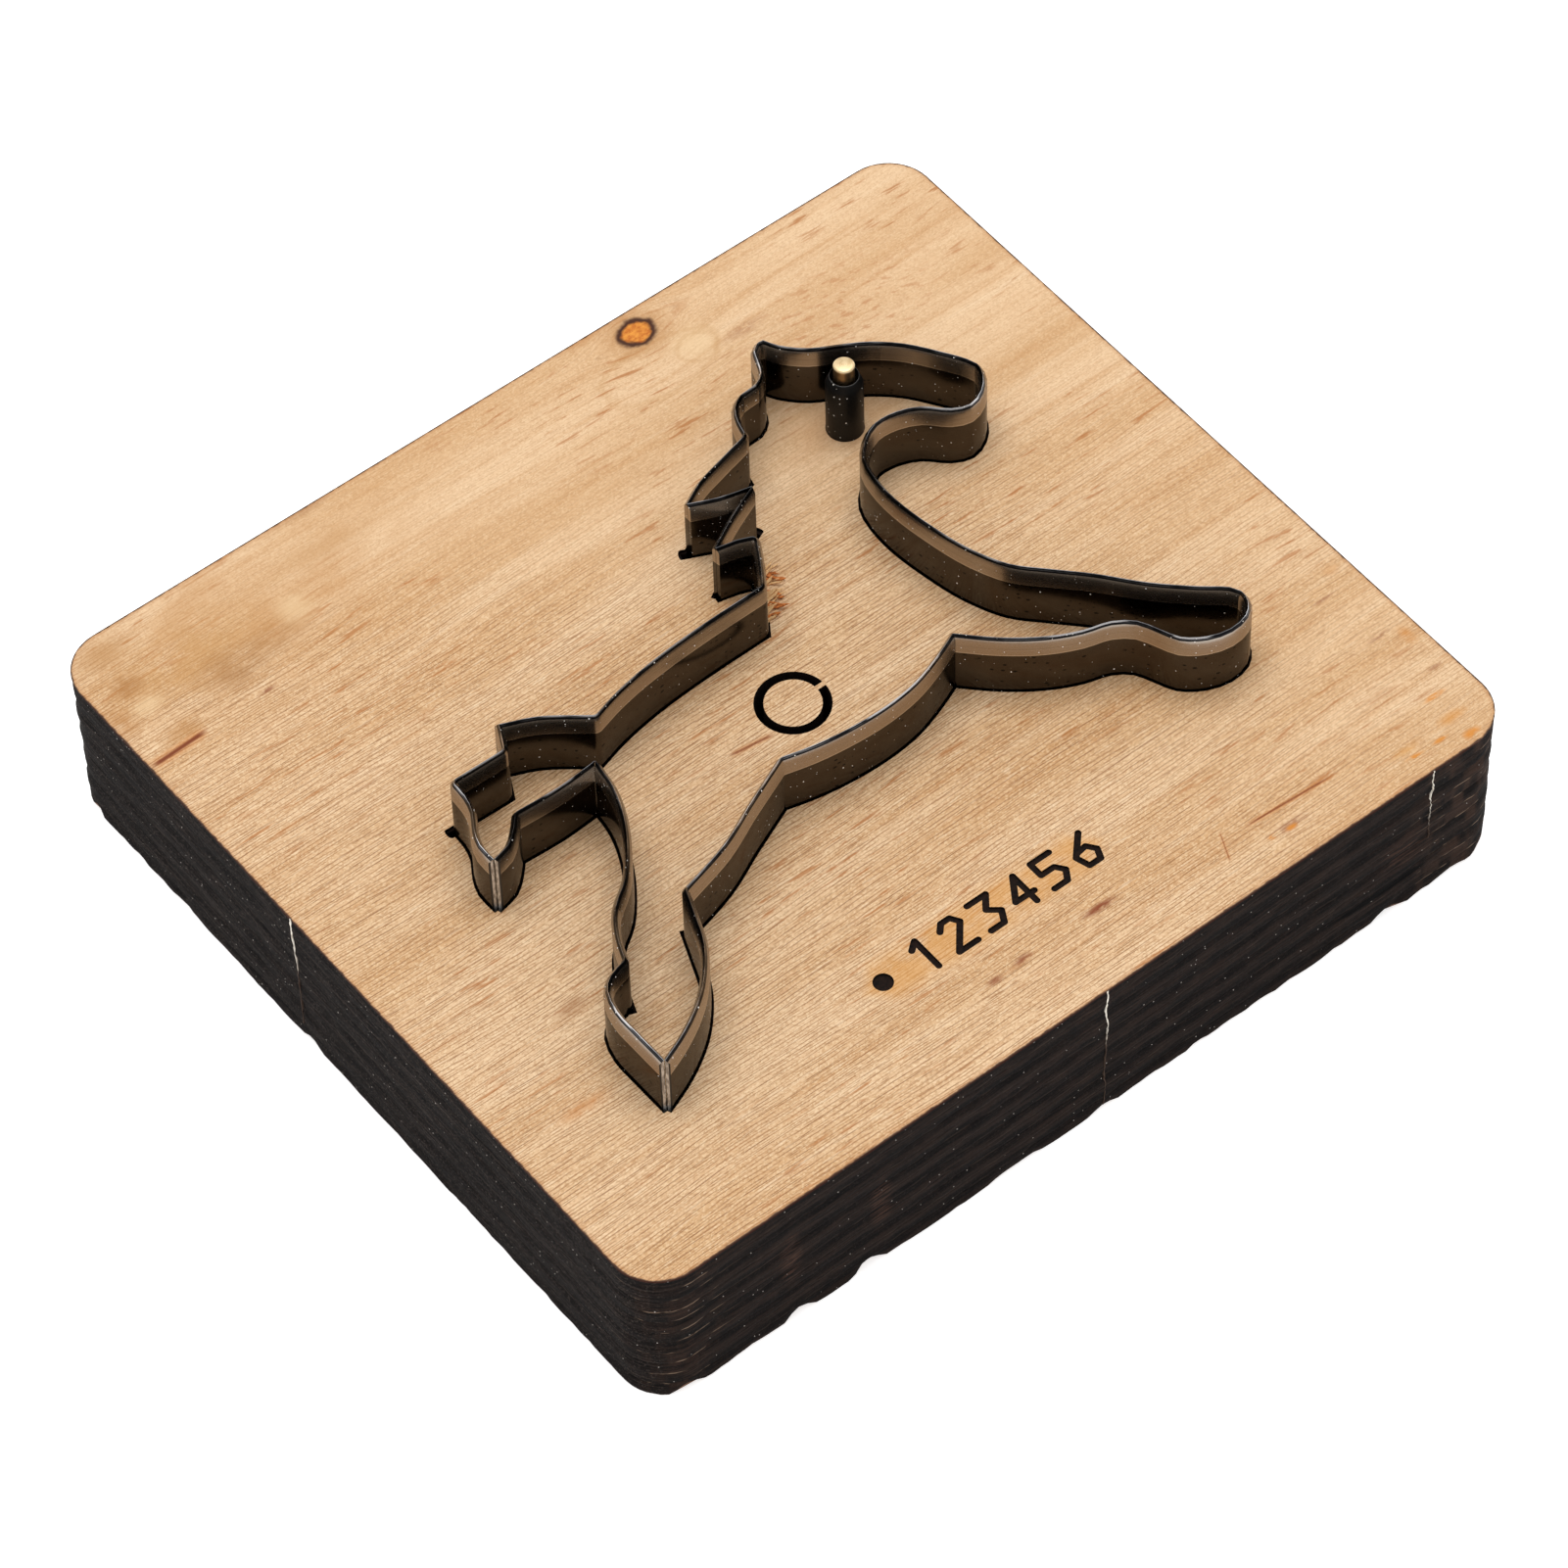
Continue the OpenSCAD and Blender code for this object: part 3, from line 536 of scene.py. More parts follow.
def face_marks(finish, colour, x, y, row):
    """The knot, stains, flecks and scorching that this board's upper face shows, and a painted shade inside
    the head.
    """
    stain = finish.cloud(x * 0.11, row * 0.14, 41.0, 3)
    ragged = finish.cloud(x * 0.9, y * 2.2, 43.0, 3)
    soft = finish.cloud(x * 0.22, y * 0.34, 47.0, 4, 0.6)
    curl = finish.cloud(x * 0.6, y * 1.9 + x * 0.4, 51.0, 3)
    coats = [(oval(x, y, (-30, 36), (26, 14), 0.8) * stain.step(0.4, 0.66) * 0.45, (190, 138, 84))]
    # Stain blots, and one painted shade inside the head.
    for centre, radii, strength, tint in STAINS_AND_HEAD_SHADE:
        blot = oval(x, y, centre, radii, 0.95) * soft.step(0.3, 0.56)
        coats.append((blot * min(0.9, strength * 1.15), tint))
    for centre, radii in PALE_SPOTS:
        coats.append((oval(x, y, centre, radii, 0.9) * 0.55, (228, 196, 152)))
    for centre, radii, strength in FLECKS:
        coats.append((oval(x, y, centre, radii, 0.9) * ragged.step(0.3, 0.5) * strength, (134, 66, 34)))
    for centre, radii in RESIN:
        coats.append((oval(x, y, centre, radii, 0.8) * ragged.step(0.36, 0.52) * 0.85, (210, 132, 40)))
    for centre, radii, wide in LOOPS:
        loop = (((x - centre[0]) / radii[0]) ** 2 + ((y - centre[1]) / radii[1]) ** 2) ** 0.5
        coats.append((abs(loop + (soft - 0.5) * 0.7 - 1).step(wide, 0.02) * 0.22, (186, 138, 84)))
    coats.append((oval(x, y, (30, 29), (13, 8), 0.6) * curl.step(0.55, 0.64) * 0.42, (176, 108, 56)))
    for start, end, width, strength in CRACKS:
        coats.append((line(x, y, start, end, width * 2.4) * strength * 0.5, (200, 122, 50)))
        coats.append((line(x, y, start, end, width) * strength, (118, 48, 8)))
    aside = (x - KNOT[0]) / KNOT_RADII[0]
    above = (y - KNOT[1]) / KNOT_RADII[1]
    wobble = (finish.cloud(x * 0.9, y * 0.9, 13.0, 2) - 0.5) * 0.6
    ring = (aside * aside + above * above) ** 0.5 + wobble
    coats.append((ring.step(2.6, 1.0) * 0.45, (176, 122, 66)))
    coats.append((ring.step(1.36, 0.98), (70, 36, 18)))
    pith = finish.cloud(x * 1.6, y * 2.4, 19.0, 3, 0.6)
    heart = finish.mix(pith.step(0.3, 0.7), tone(186, 100, 30), tone(228, 150, 60))
    colour = finish.mix(ring.step(0.92, 0.66), finish.layers(colour, *coats), heart)
    smoke = (abs(y + 29.4) + (abs(x + 1.8) - 10.5).maths("MAXIMUM", 0)).step(3.0, 0.9)
    return finish.layers(colour, (smoke * soft.step(0.25, 0.55) * 0.62, (204, 142, 62)))


def charred_wall(name):
    """Laser-burnt ply edges: near black, with faint ply lines, brown patches at the corners and painted
    light on the standing plies, mostly on the front, so that the burnt grooves between them read as shade.
    """
    look = settings().board
    finish = Finish(name)
    x, y, z = finish.place()
    drift = (finish.cloud(x * 0.1, y * 0.1, 1.0) - 0.5) * 0.7
    layer = (z + drift) / (BOARD_TOP / look.plies)
    seam = abs(layer.maths("FRACT") - 0.5)
    grain = finish.cloud(x * 0.35, y * 0.35, z * 7.0, 4, 0.7)
    threads = finish.cloud(x * 0.12, y * 0.12, z * 9.0, 3, 0.6)
    ash = finish.grit(x, y, z, 0.13)
    blot = finish.cloud(x * 0.5, y * 0.5, z * 0.8, 3)
    weave = finish.cloud(x * 0.55, y * 0.55, layer.maths("FLOOR") * 3.7, 2).step(0.44, 0.62)
    cold = x.step(3 - BOARD_HALF[0], 0.5 - BOARD_HALF[0])
    front = y.step(-40, -41.5)
    left = abs(x + BOARD_HALF[0] - 2) + abs(y + BOARD_HALF[1])
    right = abs(x - BOARD_HALF[0]) + abs(y + BOARD_HALF[1])
    corners = (left.step(7.0, 2.5) + right.step(13.0, 4.0)).maths("MINIMUM", 1)
    brown = corners * 0.6 + front * 0.2
    # Painted light: every second ply, the one the burn leaves standing, is made lighter so that the grooves
    # between read as shade.
    ridge_light = abs((layer * 0.5).maths("FRACT") - 0.5) * 2
    first, second, third = [oval(x, z, centre, radii, 0.9) for centre, radii in SCARS]
    scars = (first + second + third) * front
    lit = seam.step(0.44, 0.49) * (0.03 + corners * 0.5 + front * 0.03) * blot.step(0.48, 0.62)
    split = oval(x, z + x * 0.02, (32.0, 4.6), (6.0, 0.5), 0.3) * front
    dust = finish.specks(x, y, z, 0.5, 0.06, 0.16, 3.0)
    colour = finish.layers(
        tuple(look.char), (grain.step(0.4, 0.72) * 0.8, (29, 23, 21)),
        (threads.step(0.54, 0.66) * (cold * 0.4 + 0.06), (68, 59, 54)),
        # Painted relief light on the standing plies, mostly on the front.
        (ridge_light.step(0.42, 0.6) * grain.step(0.3, 0.6) * (front * 0.44 + 0.06), (48, 37, 32)),
        (brown * weave * grain.step(0.34, 0.62) * 0.75, (52, 37, 30)),
        (right.step(15.0, 3.0) * weave * 0.36, (66, 49, 40)),
        (scars * grain.step(0.44, 0.64) * 0.6, (84, 59, 48)), (lit, (150, 126, 106)),
        (ash.step(0.74, 1.0) * (cold * 0.3 + 0.12), (74, 65, 60)), (split, (6, 5, 5)),
        (z.step(BOARD_TOP - 0.45, BOARD_TOP) * 0.7, (74, 36, 24)), (dust * 0.8, (200, 192, 184)))
    height = grain * 0.6 + seam.step(0.5, 0.36) * 0.4
    return finish.surface(Base_Color=colour, Roughness=0.7 + grain * 0.25, Specular_IOR_Level=0.05,
                          Normal=finish.bump(height, 0.09, 0.8))


def kerf_char(name):
    """Soot in the kerfs and the burnt mark."""
    finish = Finish(name)
    x, y, z = finish.place()
    soot = finish.cloud(x * 2.5, y * 2.5, z * 2.5, 4)
    colour = finish.mix(soot.step(0.35, 0.75), tone(32, 19, 13), tuple(settings().board.char))
    return finish.surface(Base_Color=colour, Roughness=0.85, Specular_IOR_Level=0.15,
                          Normal=finish.bump(soot, 0.05, 0.7))


def rule_steel(name):
    """Dark oxide steel with a ground band and a dark bevel, with painted highlights: a bright line along
    the cutting edge, a thin line on the bevel and glint patches near the top.
    """
    look = settings().rules
    finish = Finish(name)
    x, y, z = finish.place()
    down = RULE_TOP - z
    bevel = look.bevel / MM
    foot = bevel + look.ground_band / MM
    drawn = finish.cloud(x * 0.04, y * 0.04, z * 9.0, 4, 0.7)
    blot = finish.cloud(x * 0.3, y * 0.3, z * 0.5, 3)
    low = down + (finish.cloud(x * 0.08, y * 0.08, 9.0) - 0.5) * 0.16
    band = low.step(foot + 0.03, foot - 0.03)
    # worn is a patchy cloud that breaks up the painted highlights on the bevel and along the cutting edge;
    # it marks no wear.
    worn = finish.cloud(x * 0.35, y * 0.35, 3.0, 3).step(0.42, 0.62)
    # Mask for painted glints: bright patches near the top of the rule that stand for light catching the
    # bevel.
    bright = finish.cloud(x * 0.14, y * 0.14, 7.0, 2).step(0.53, 0.6)
    patch = finish.cloud(x * 0.25, y * 0.25, z * 0.25, 1).step(0.42, 0.5)
    strewn = finish.cloud(x * 0.16, y * 0.16, z * 0.3, 2).step(0.4, 0.6)
    pits = finish.specks(x * 0.6, y * 0.6, z, 0.45, 0.13, 0.6, 8.0) * patch * down.step(foot, foot + 0.3)
    grains = finish.specks(x, y, z, 0.6, 0.07, 0.35, 1.0)
    powder = finish.specks(x, y, z, 0.34, 0.05, 0.24, 4.0) * strewn
    sparks = finish.specks(x, y, z, 0.5, 0.07, 0.3, 6.0) * down.step(0.6, 0.4)
    dust = (grains + powder + sparks).maths("MINIMUM", 1)
    oxide = finish.mix(blot.step(0.3, 0.7) * 0.4, tuple(look.oxide), dimmed(look.oxide, 0.7))
    ground = finish.mix(drawn.step(0.3, 0.7) * 0.6, dimmed(look.ground, 0.82), tuple(look.ground))
    ground = finish.layers(ground, (abs(low - bevel - 0.6).step(0.07, 0.02) * 0.4, (0.2, 0.175, 0.15, 1)))
    colour = finish.layers(
        finish.mix(band, oxide, ground),
        (abs(low - foot + 0.06).step(0.06, 0.02) * 0.5, (0.7, 0.67, 0.62, 1)),
        (down.step(bevel * 0.6, bevel * 0.5), (0.008, 0.008, 0.009, 1)),
        # Painted highlights: a thin grey line on the bevel and a bright line along the cutting edge, both
        # made patchy by the worn cloud.
        (abs(down - bevel * 0.3).step(0.06, 0.02) * worn * 0.25, (0.3, 0.29, 0.3, 1)),
        (down.step(0.07, 0.02) * (worn * 0.7 + 0.3), (0.7, 0.7, 0.72, 1)),
        # Painted glint patches near the top of the rule.
        (down.step(0.17, 0.1) * bright * 0.8, (0.62, 0.6, 0.6, 1)),
        (pits * 0.85, (0.006, 0.006, 0.005, 1)), (dust, (255, 252, 246)))
    rough = band * 0.08 + 0.13
    return finish.surface(Base_Color=colour, Metallic=1 - dust, Roughness=rough + drawn * 0.08 + dust * 0.4,
                          Normal=finish.bump(drawn, 0.003, 0.3))


def fresh_cut(name):
    """Bare steel of a sawn rule end."""
    finish = Finish(name)
    x, y, z = finish.place()
    burr = finish.cloud(x * 5.0, y * 5.0, z * 1.2, 3)
    across = x * SAWN_WAY[1] - y * SAWN_WAY[0]
    first, second = [abs(across - (tip[0] * SAWN_WAY[1] - tip[1] * SAWN_WAY[0])) for tip in SAWN_TIPS]
    aside = first.maths("MINIMUM", second) + (burr - 0.5) * 0.12
    bare = aside.step(0.33, 0.27) * aside.step(0.04, 0.08)
    steel = finish.mix(burr.step(0.36, 0.62), (0.26, 0.24, 0.22, 1), (0.62, 0.6, 0.57, 1))
    colour = finish.mix(bare, (0.03, 0.028, 0.026, 1), steel)
    return finish.surface(Base_Color=colour, Metallic=0.6, Roughness=0.4,
                          Normal=finish.bump(burr, 0.02, 0.5))


def black_steel(name):
    """Satin black oxide of the punch tube, worn bright at its cutting rim."""
    finish = Finish(name)
    x, y, z = finish.place()
    turned = finish.cloud(x * 0.5, y * 0.5, z * 14.0, 3)
    blot = finish.cloud(x, y, z * 0.6, 3)
    dust = finish.specks(x, y, z, 0.42, 0.07, 0.55, 5.0)
    colour = finish.layers(
        tuple(settings().punch.black), (blot.step(0.35, 0.7) * 0.6, (12, 11, 11)),
        (z.step(PUNCH_TOP - 0.1, PUNCH_TOP - 0.03) * 0.5, (150, 148, 146)), (dust, (250, 246, 238)))
    return finish.surface(Base_Color=colour, Roughness=0.32 + turned * 0.12, Specular_IOR_Level=0.2,
                          Normal=finish.bump(turned, 0.006, 0.4))


def turned_metal(name, colour, dull, roughness, darker_below=None):
    """Lathe-turned metal with fine rings round the punch's axis, darker below a height in mm."""
    finish = Finish(name)
    x, y, z = finish.place()
    aside = x - PUNCH_AXIS.x
    above = y - PUNCH_AXIS.y
    radius = (aside * aside + above * above) ** 0.5
    rings = finish.cloud(radius * 14.0, z * 10.0, 1.0, 2)
    blot = finish.cloud(x * 1.3, y * 1.3, z * 0.9, 3)
    shade = finish.mix(rings.step(0.35, 0.7) * 0.35 + blot.step(0.4, 0.7) * 0.4, colour, dull)
    if darker_below is not None:
        # Brown darkening down the side from a height in mm.
        shade = finish.layers(shade, (z.step(darker_below, darker_below - 0.3) * 0.75, (92, 64, 34)))
    return finish.surface(Base_Color=shade, Metallic=1.0, Roughness=roughness + rings * 0.16,
                          Normal=finish.bump(rings, 0.008, 0.5))


def torn_wood(name, colour, shadow):
    """Fresh torn fibres, streaked along the grain."""
    finish = Finish(name)
    x, y, z = finish.place()
    strands = finish.cloud(x * 1.6, y * 7.0, z * 7.0, 3)
    colour = finish.mix(strands.step(0.4, 0.66) * 0.7, colour, shadow)
    return finish.surface(Base_Color=colour, Roughness=0.8, Specular_IOR_Level=0.2,
                          Normal=finish.bump(strands, 0.04, 0.6))


def torn_tab(name):
    """Snapped tab: pale torn wood at its head that turns to char further down."""
    finish = Finish(name)
    x, y, z = finish.place()
    strands = finish.cloud(x * 3.0, y * 3.0, z * 1.2, 3)
    burnt = (z + (strands - 0.5) * 8).step(BOARD_TOP - 3.5, BOARD_TOP - 8.0)
    colour = finish.layers(
        tone(240, 232, 218), (strands.step(0.45, 0.7) * 0.4, (170, 142, 110)), (burnt, (66, 50, 40)))
    return finish.surface(Base_Color=colour, Roughness=0.85, Specular_IOR_Level=0.2,
                          Normal=finish.bump(strands, 0.05, 0.6))


def floor_finish(name):
    """Matt paper-white floor."""
    look = settings().stage
    finish = Finish(name)
    x, y, _ = finish.place()
    paper = finish.cloud(x * 0.02, y * 0.02, 0.0, 2)
    colour = finish.mix(paper, tuple(look.floor), dimmed(look.floor, 0.985))
    return finish.surface(Base_Color=colour, Roughness=0.9, Specular_IOR_Level=0.1,
                          Emission_Color=(1, 1, 1, 1), Emission_Strength=look.glow)


def alone(piece):
    """Selects one object and nothing else."""
    bpy.ops.object.select_all(action="DESELECT")
    piece.select_set(True)
    bpy.context.view_layer.objects.active = piece


def edit(piece, mode, test=None):
    """Opens a piece in edit mode with the faces or edges that pass a test selected, or all of them."""
    alone(piece)
    bpy.ops.object.mode_set(mode="EDIT")
    bpy.ops.mesh.select_mode(type=mode)
    bpy.ops.mesh.select_all(action="SELECT" if test is None else "DESELECT")
    if test is not None:
        bpy.ops.object.mode_set(mode="OBJECT")
        items = piece.data.polygons if mode == "FACE" else piece.data.edges
        for item in items:
            item.select = test(item)
        bpy.ops.object.mode_set(mode="EDIT")


def done():
    """Leaves edit mode."""
    bpy.ops.object.mode_set(mode="OBJECT")


def change(piece, mode, test, operator, **options):
    """Runs one operator on the faces or edges of a piece that pass a test."""
    edit(piece, mode, test)
    operator(**options)
    done()


def merged_copy(node, name):
    """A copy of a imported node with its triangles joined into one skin."""
    alone(frame["nodes"][node])
    bpy.ops.object.duplicate()
    piece = bpy.context.object
    bpy.ops.object.parent_clear(type="CLEAR_KEEP_TRANSFORM")
    for key in list(piece.keys()):
        del piece[key]
    piece.name = piece.data.name = name
    piece.data.materials.clear()
    edit(piece, "VERT")
    bpy.ops.mesh.remove_doubles(threshold=MERGE)
    bpy.ops.mesh.customdata_custom_splitnormals_clear()
    done()
    return piece


def smooth(piece, angle):
    """Shades bends below an angle as curves."""
    alone(piece)
    bpy.ops.object.shade_smooth_by_angle(angle=angle)


def dress(piece, body, materials, replaced=None):
    """Gives a piece its finishes and its body, and hides the imported node that it replaces."""
    for material in materials:
        piece.data.materials.append(material)
    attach(piece, body)
    if replaced:
        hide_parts(replaced)


def outline(point):
    """Distance outside the board's outline in mm, and the outward direction there."""
    over = Vector((
        abs(point.x) / MM - BOARD_HALF[0] + BOARD_CORNER, abs(point.y) / MM - BOARD_HALF[1] + BOARD_CORNER))
    if over.x > 0 and over.y > 0:
        distance = over.length - BOARD_CORNER
        way = over.normalized()
    elif over.x > over.y:
        distance = over.x - BOARD_CORNER
        way = Vector((1, 0))
    else:
        distance = over.y - BOARD_CORNER
        way = Vector((0, 1))
    return distance, Vector((math.copysign(way.x, point.x), math.copysign(way.y, point.y), 0))


def side_of(way):
    """Name of the board's side that a direction points to."""
    if abs(way.x) > abs(way.y):
        return "right" if way.x > 0 else "left"
    return "back" if way.y > 0 else "front"


def chip_lift(side, along, height):
    """How far the lower edge is chipped away at a place, in mm."""
    lift = 0.0
    for where, centre, half, rise in CHIPS:
        share = (along - centre) / half
        if where == side and abs(share) < 1:
            lift = max(lift, rise * (1 - share * share))
    return lift * max(0.0, 1 - height / CHIP_FADE)


def burn(board):
    """Gives the wall its burnt plies and chipped lower edge."""
    look = settings().board
    ply = BOARD_TOP / look.plies
    depth = look.burn_depth / MM
    for vertex in board.data.vertices:
        outside, way = outline(vertex.co)
        if abs(outside) > WALL_REACH:
            continue
        spot = vertex.co / MM
        height = spot.z
        side = side_of(way)
        along = spot.x if abs(way.y) > abs(way.x) else spot.y
        wave = noise.noise(Vector((spot.x * 0.13, spot.y * 0.13, 4.0)))
        layer = (height + wave * 0.35) / ply
        deep = 0.5 - 0.5 * math.cos(math.pi * (layer % 2.0))
        eaten = depth * (0.35 + 0.65 * deep)
        eaten += depth * 0.7 * noise.noise(Vector((spot.x * 0.35, spot.y * 0.35, height * 0.9)))
        eaten += depth * 0.55 * noise.noise(Vector((spot.x * 1.6, spot.y * 1.6, height * 3.1)))
        eaten *= min(1.0, (BOARD_TOP - height) / TOP_FADE)
        rough = 0.12 if side == "left" else 0.3
        ragged = 0.08 + rough * noise.noise(Vector((spot.x * 0.4, spot.y * 0.4, 20.0)))
        lift = chip_lift(side, along, height) + max(0.0, ragged) * max(0.0, 1 - height)
        inward = (outside + max(LEAST_BURN, eaten) + lift * 0.35) * MM
        vertex.co -= way * inward
        vertex.co.z += lift * MM


def round_run_ons(board):
    """Rounds the flat ends of the kerf mouths where the laser ran past a tip."""
    for place, way in RUN_ONS:
        middle = Vector(place) * MM
        ahead = Vector(way).normalized()
        aside = Vector((-ahead.y, ahead.x))

        def veneer_round(face):
            corners = [board.data.vertices[i].co.to_2d() for i in face.vertices]
            level = face.normal.z > 0.99 and face.center.z / MM > BOARD_TOP - 0.01
            return level and any((corner - middle).length < 0.7 * MM for corner in corners)

        def end_wall(face):
            near = (face.center.to_2d() - middle).length < 0.3 * MM and face.center.z / MM > BOARD_TOP - 0.5
            return near and abs(face.normal.to_2d().dot(ahead)) > 0.97

        def flat_end(edge):
            first, second = [board.data.vertices[i].co for i in edge.vertices]
            level = abs(first.z - second.z) < MERGE and min(first.z, second.z) / MM > BOARD_TOP - 0.5
            near = ((first + second).to_2d() / 2 - middle).length < 0.2 * MM
            return level and near and abs((first - second).to_2d().dot(aside)) > 0.9 * MM

        change(board, "FACE", veneer_round, bpy.ops.mesh.dissolve_faces)
        change(board, "FACE", end_wall, bpy.ops.mesh.tris_convert_to_quads,
               face_threshold=math.pi, shape_threshold=math.pi)
        change(board, "EDGE", flat_end, bpy.ops.mesh.subdivide, number_cuts=RUN_ON_CUTS)
        moved = [vertex for vertex in board.data.vertices if vertex.select]
        if not moved:
            raise RuntimeError(f"no kerf mouth ends at {place}")
        half = max(abs((vertex.co.to_2d() - middle).dot(aside)) for vertex in moved)
        for vertex in moved:
            share = (vertex.co.to_2d() - middle).dot(aside) / half
            push = RUN_ON_BULGE * math.sqrt(max(0.0, 1 - share * share))
            vertex.co += (ahead * push * MM).to_3d()
        change(board, "FACE", lambda face: len(face.vertices) > 4, bpy.ops.mesh.quads_convert_to_tris)


def wall_face(face):
    """Whether a face of the board is part of its outer wall."""
    return abs(face.normal.z) < 0.5 and outline(face.center)[0] > -WALL_DEPTH


def board_finish(face):
    """Which of the board's finishes a face has."""
    height = face.center.z / MM
    if wall_face(face):
        return WALL
    if face.normal.z > 0.9 and height > BOARD_TOP - 0.02:
        return UPPER
    if face.normal.z < -0.9 and height < 0.02:
        return UNDERSIDE
    return KERF


class RULEDIE_OT_board(Operator):
    """Finish the plywood board: burnt wall with chipped foot, veneer faces and sooty kerfs."""

    bl_idname = "rule_die.board"
    bl_label = "Plywood Board"

    def execute(self, context):
        look = settings().board
        board = merged_copy("die_board", "plywood_board")
        edit(board, "FACE", wall_face)
        bpy.ops.mesh.delete(type="ONLY_FACE")
        bpy.ops.mesh.select_all(action="SELECT")
        bpy.ops.mesh.delete_loose()
        done()
        points = board.data.vertices

        def long_rim(edge):
            ends = [points[i].co for i in edge.vertices]
            return (ends[0] - ends[1]).length > 0.02 and all(abs(outline(p)[0]) < 0.01 for p in ends)

        edit(board, "EDGE", long_rim)
        bpy.ops.mesh.subdivide(number_cuts=int(WALL_RUN / look.wall_step))
        bpy.ops.mesh.select_all(action="DESELECT")
        bpy.ops.mesh.select_non_manifold(extend=False)
        bpy.ops.mesh.bridge_edge_loops(number_cuts=look.wall_rows, interpolation="LINEAR")
        done()
        if not any(wall_face(face) for face in board.data.polygons):
            raise RuntimeError("the board's wall was not rebuilt")
        round_run_ons(board)
        finishes = [
            veneer("birch_veneer_face", True), charred_wall("charred_ply_edge"), kerf_char("kerf_soot"),
            veneer("birch_veneer_underside", False)]
        for face in board.data.polygons:
            face.material_index = board_finish(face)
        burn(board)
        smooth(board, BOARD_SMOOTH)
        dress(board, "die", finishes, "die_board")
        return {"FINISHED"}


def fresh_end(face):
    """Whether a rule's face is one of the sawn ends at the hoof's and the tail's tip."""
    spot = face.center.to_2d() / MM
    near = any((spot - Vector(tip)).length < 0.7 for tip in SAWN_TIPS)
    return near and abs(face.normal.z) < 0.3 and face.normal.to_2d().dot(Vector(SAWN_WAY)) > 0.85


def close_ear(rule):
    """Brings the butt end at the ear up to its neighbour's, so that no light shows between them."""
    way = Vector(EAR_WAY).normalized()
    corners = set()
    for face in rule.data.polygons:
        near = (face.center.to_2d() / MM - Vector(EAR_JOINT)).length < 0.5
        if near and face.normal.to_2d().dot(way) > 0.99:
            corners.update(face.vertices)
    if not corners:
        raise RuntimeError("the head rule has no end at the ear")
    for corner in corners:
        rule.data.vertices[corner].co += (way * EAR_GAP * MM).to_3d()


class RULEDIE_OT_cutting_rules(Operator):
    """Finish the nine bent cutting rules in ground and oxidised steel."""

    bl_idname = "rule_die.cutting_rules"
    bl_label = "Cutting Rules"

    def execute(self, context):
        finishes = [rule_steel("oxidised_rule_steel"), fresh_cut("fresh_cut_steel")]
        for node, name in RULES.items():
            rule = merged_copy(node, name)
            if node == "head_foreleg_rule":
                close_ear(rule)
            for face in rule.data.polygons:
                face.material_index = int(fresh_end(face))
            smooth(rule, settings().rules.smooth_angle)
            dress(rule, "die", finishes, node)
        return {"FINISHED"}


def softened(node, name):
    """A copy of a turned node with its edges softened."""
    piece = merged_copy(node, name)
    alone(piece)
    edges = piece.modifiers.new("soft edges", "BEVEL")
    edges.width = settings().punch.edge_round
    edges.segments = 2
    edges.limit_method = "ANGLE"
    edges.angle_limit = SHARP_ANGLE
    bpy.ops.object.modifier_apply(modifier=edges.name)
    smooth(piece, TURNED_SMOOTH)
    return piece


class RULEDIE_OT_eye_punch(Operator):
    """Finish the eye punch: black tube, foot plug, brass ejector pin and its spring."""

    bl_idname = "rule_die.eye_punch"
    bl_label = "Eye Punch"

    def execute(self, context):
        black = black_steel("punch_black_oxide")
        dress(softened("punch_body", "punch_tube"), "die", [black], "punch_body")
        plug = turned_metal("turned_plug_steel", tone(150, 147, 143), tone(96, 92, 88), 0.34)
        dress(softened("punch_plug", "punch_foot_plug"), "die", [plug], "punch_plug")
        gold = tuple(settings().punch.brass)
        brass = turned_metal("turned_brass", gold, tone(176, 134, 72), 0.3, PIN_TOP - 0.06)
        dress(softened("ejector_pin", "brass_ejector_pin"), "ejector", [brass], "ejector_pin")
        wire = turned_metal("drawn_spring_wire", tone(190, 187, 182), tone(120, 116, 110), 0.3)
        spring = merged_copy("ejector_spring", "return_spring")
        smooth(spring, WIRE_SMOOTH)
        dress(spring, "die", [wire], "ejector_spring")
        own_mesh(spring)
        return {"FINISHED"}


def cut_block(middle, size, axis, cuts):
    """A block at a place, cut across one axis."""
    bpy.ops.object.select_all(action="DESELECT")
    bpy.ops.mesh.primitive_cube_add(size=1, location=(0, 0, 0))
    block = bpy.context.object
    block.data.transform(Matrix.Translation(middle) @ Matrix.Diagonal((*size, 1)))
    points = block.data.vertices

    def lengthwise(edge):
        first, second = [points[i].co[axis] for i in edge.vertices]
        return abs(first - second) > MERGE

    change(block, "EDGE", lengthwise, bpy.ops.mesh.subdivide, number_cuts=cuts)
    return block


def torn_fibre(length):
    """One torn fibre: a bent, tapered splinter that lies along X from the origin."""
    fibre = cut_block((length / 2, 0, 0), (length, length / 5, length / 9), 0, FIBRE_CUTS)
    change(fibre, "FACE", lambda face: face.normal.x > 0.9, bpy.ops.transform.resize, value=(1, 0.3, 0.25))
    for vertex in fibre.data.vertices:
        share = vertex.co.x / length
        vertex.co.z += length * (0.2 * share * share - 0.02)
        vertex.co.y += length * 0.06 * math.sin(share * 5.0) + length * 0.05 * noise.noise(vertex.co * 4000)
    return fibre


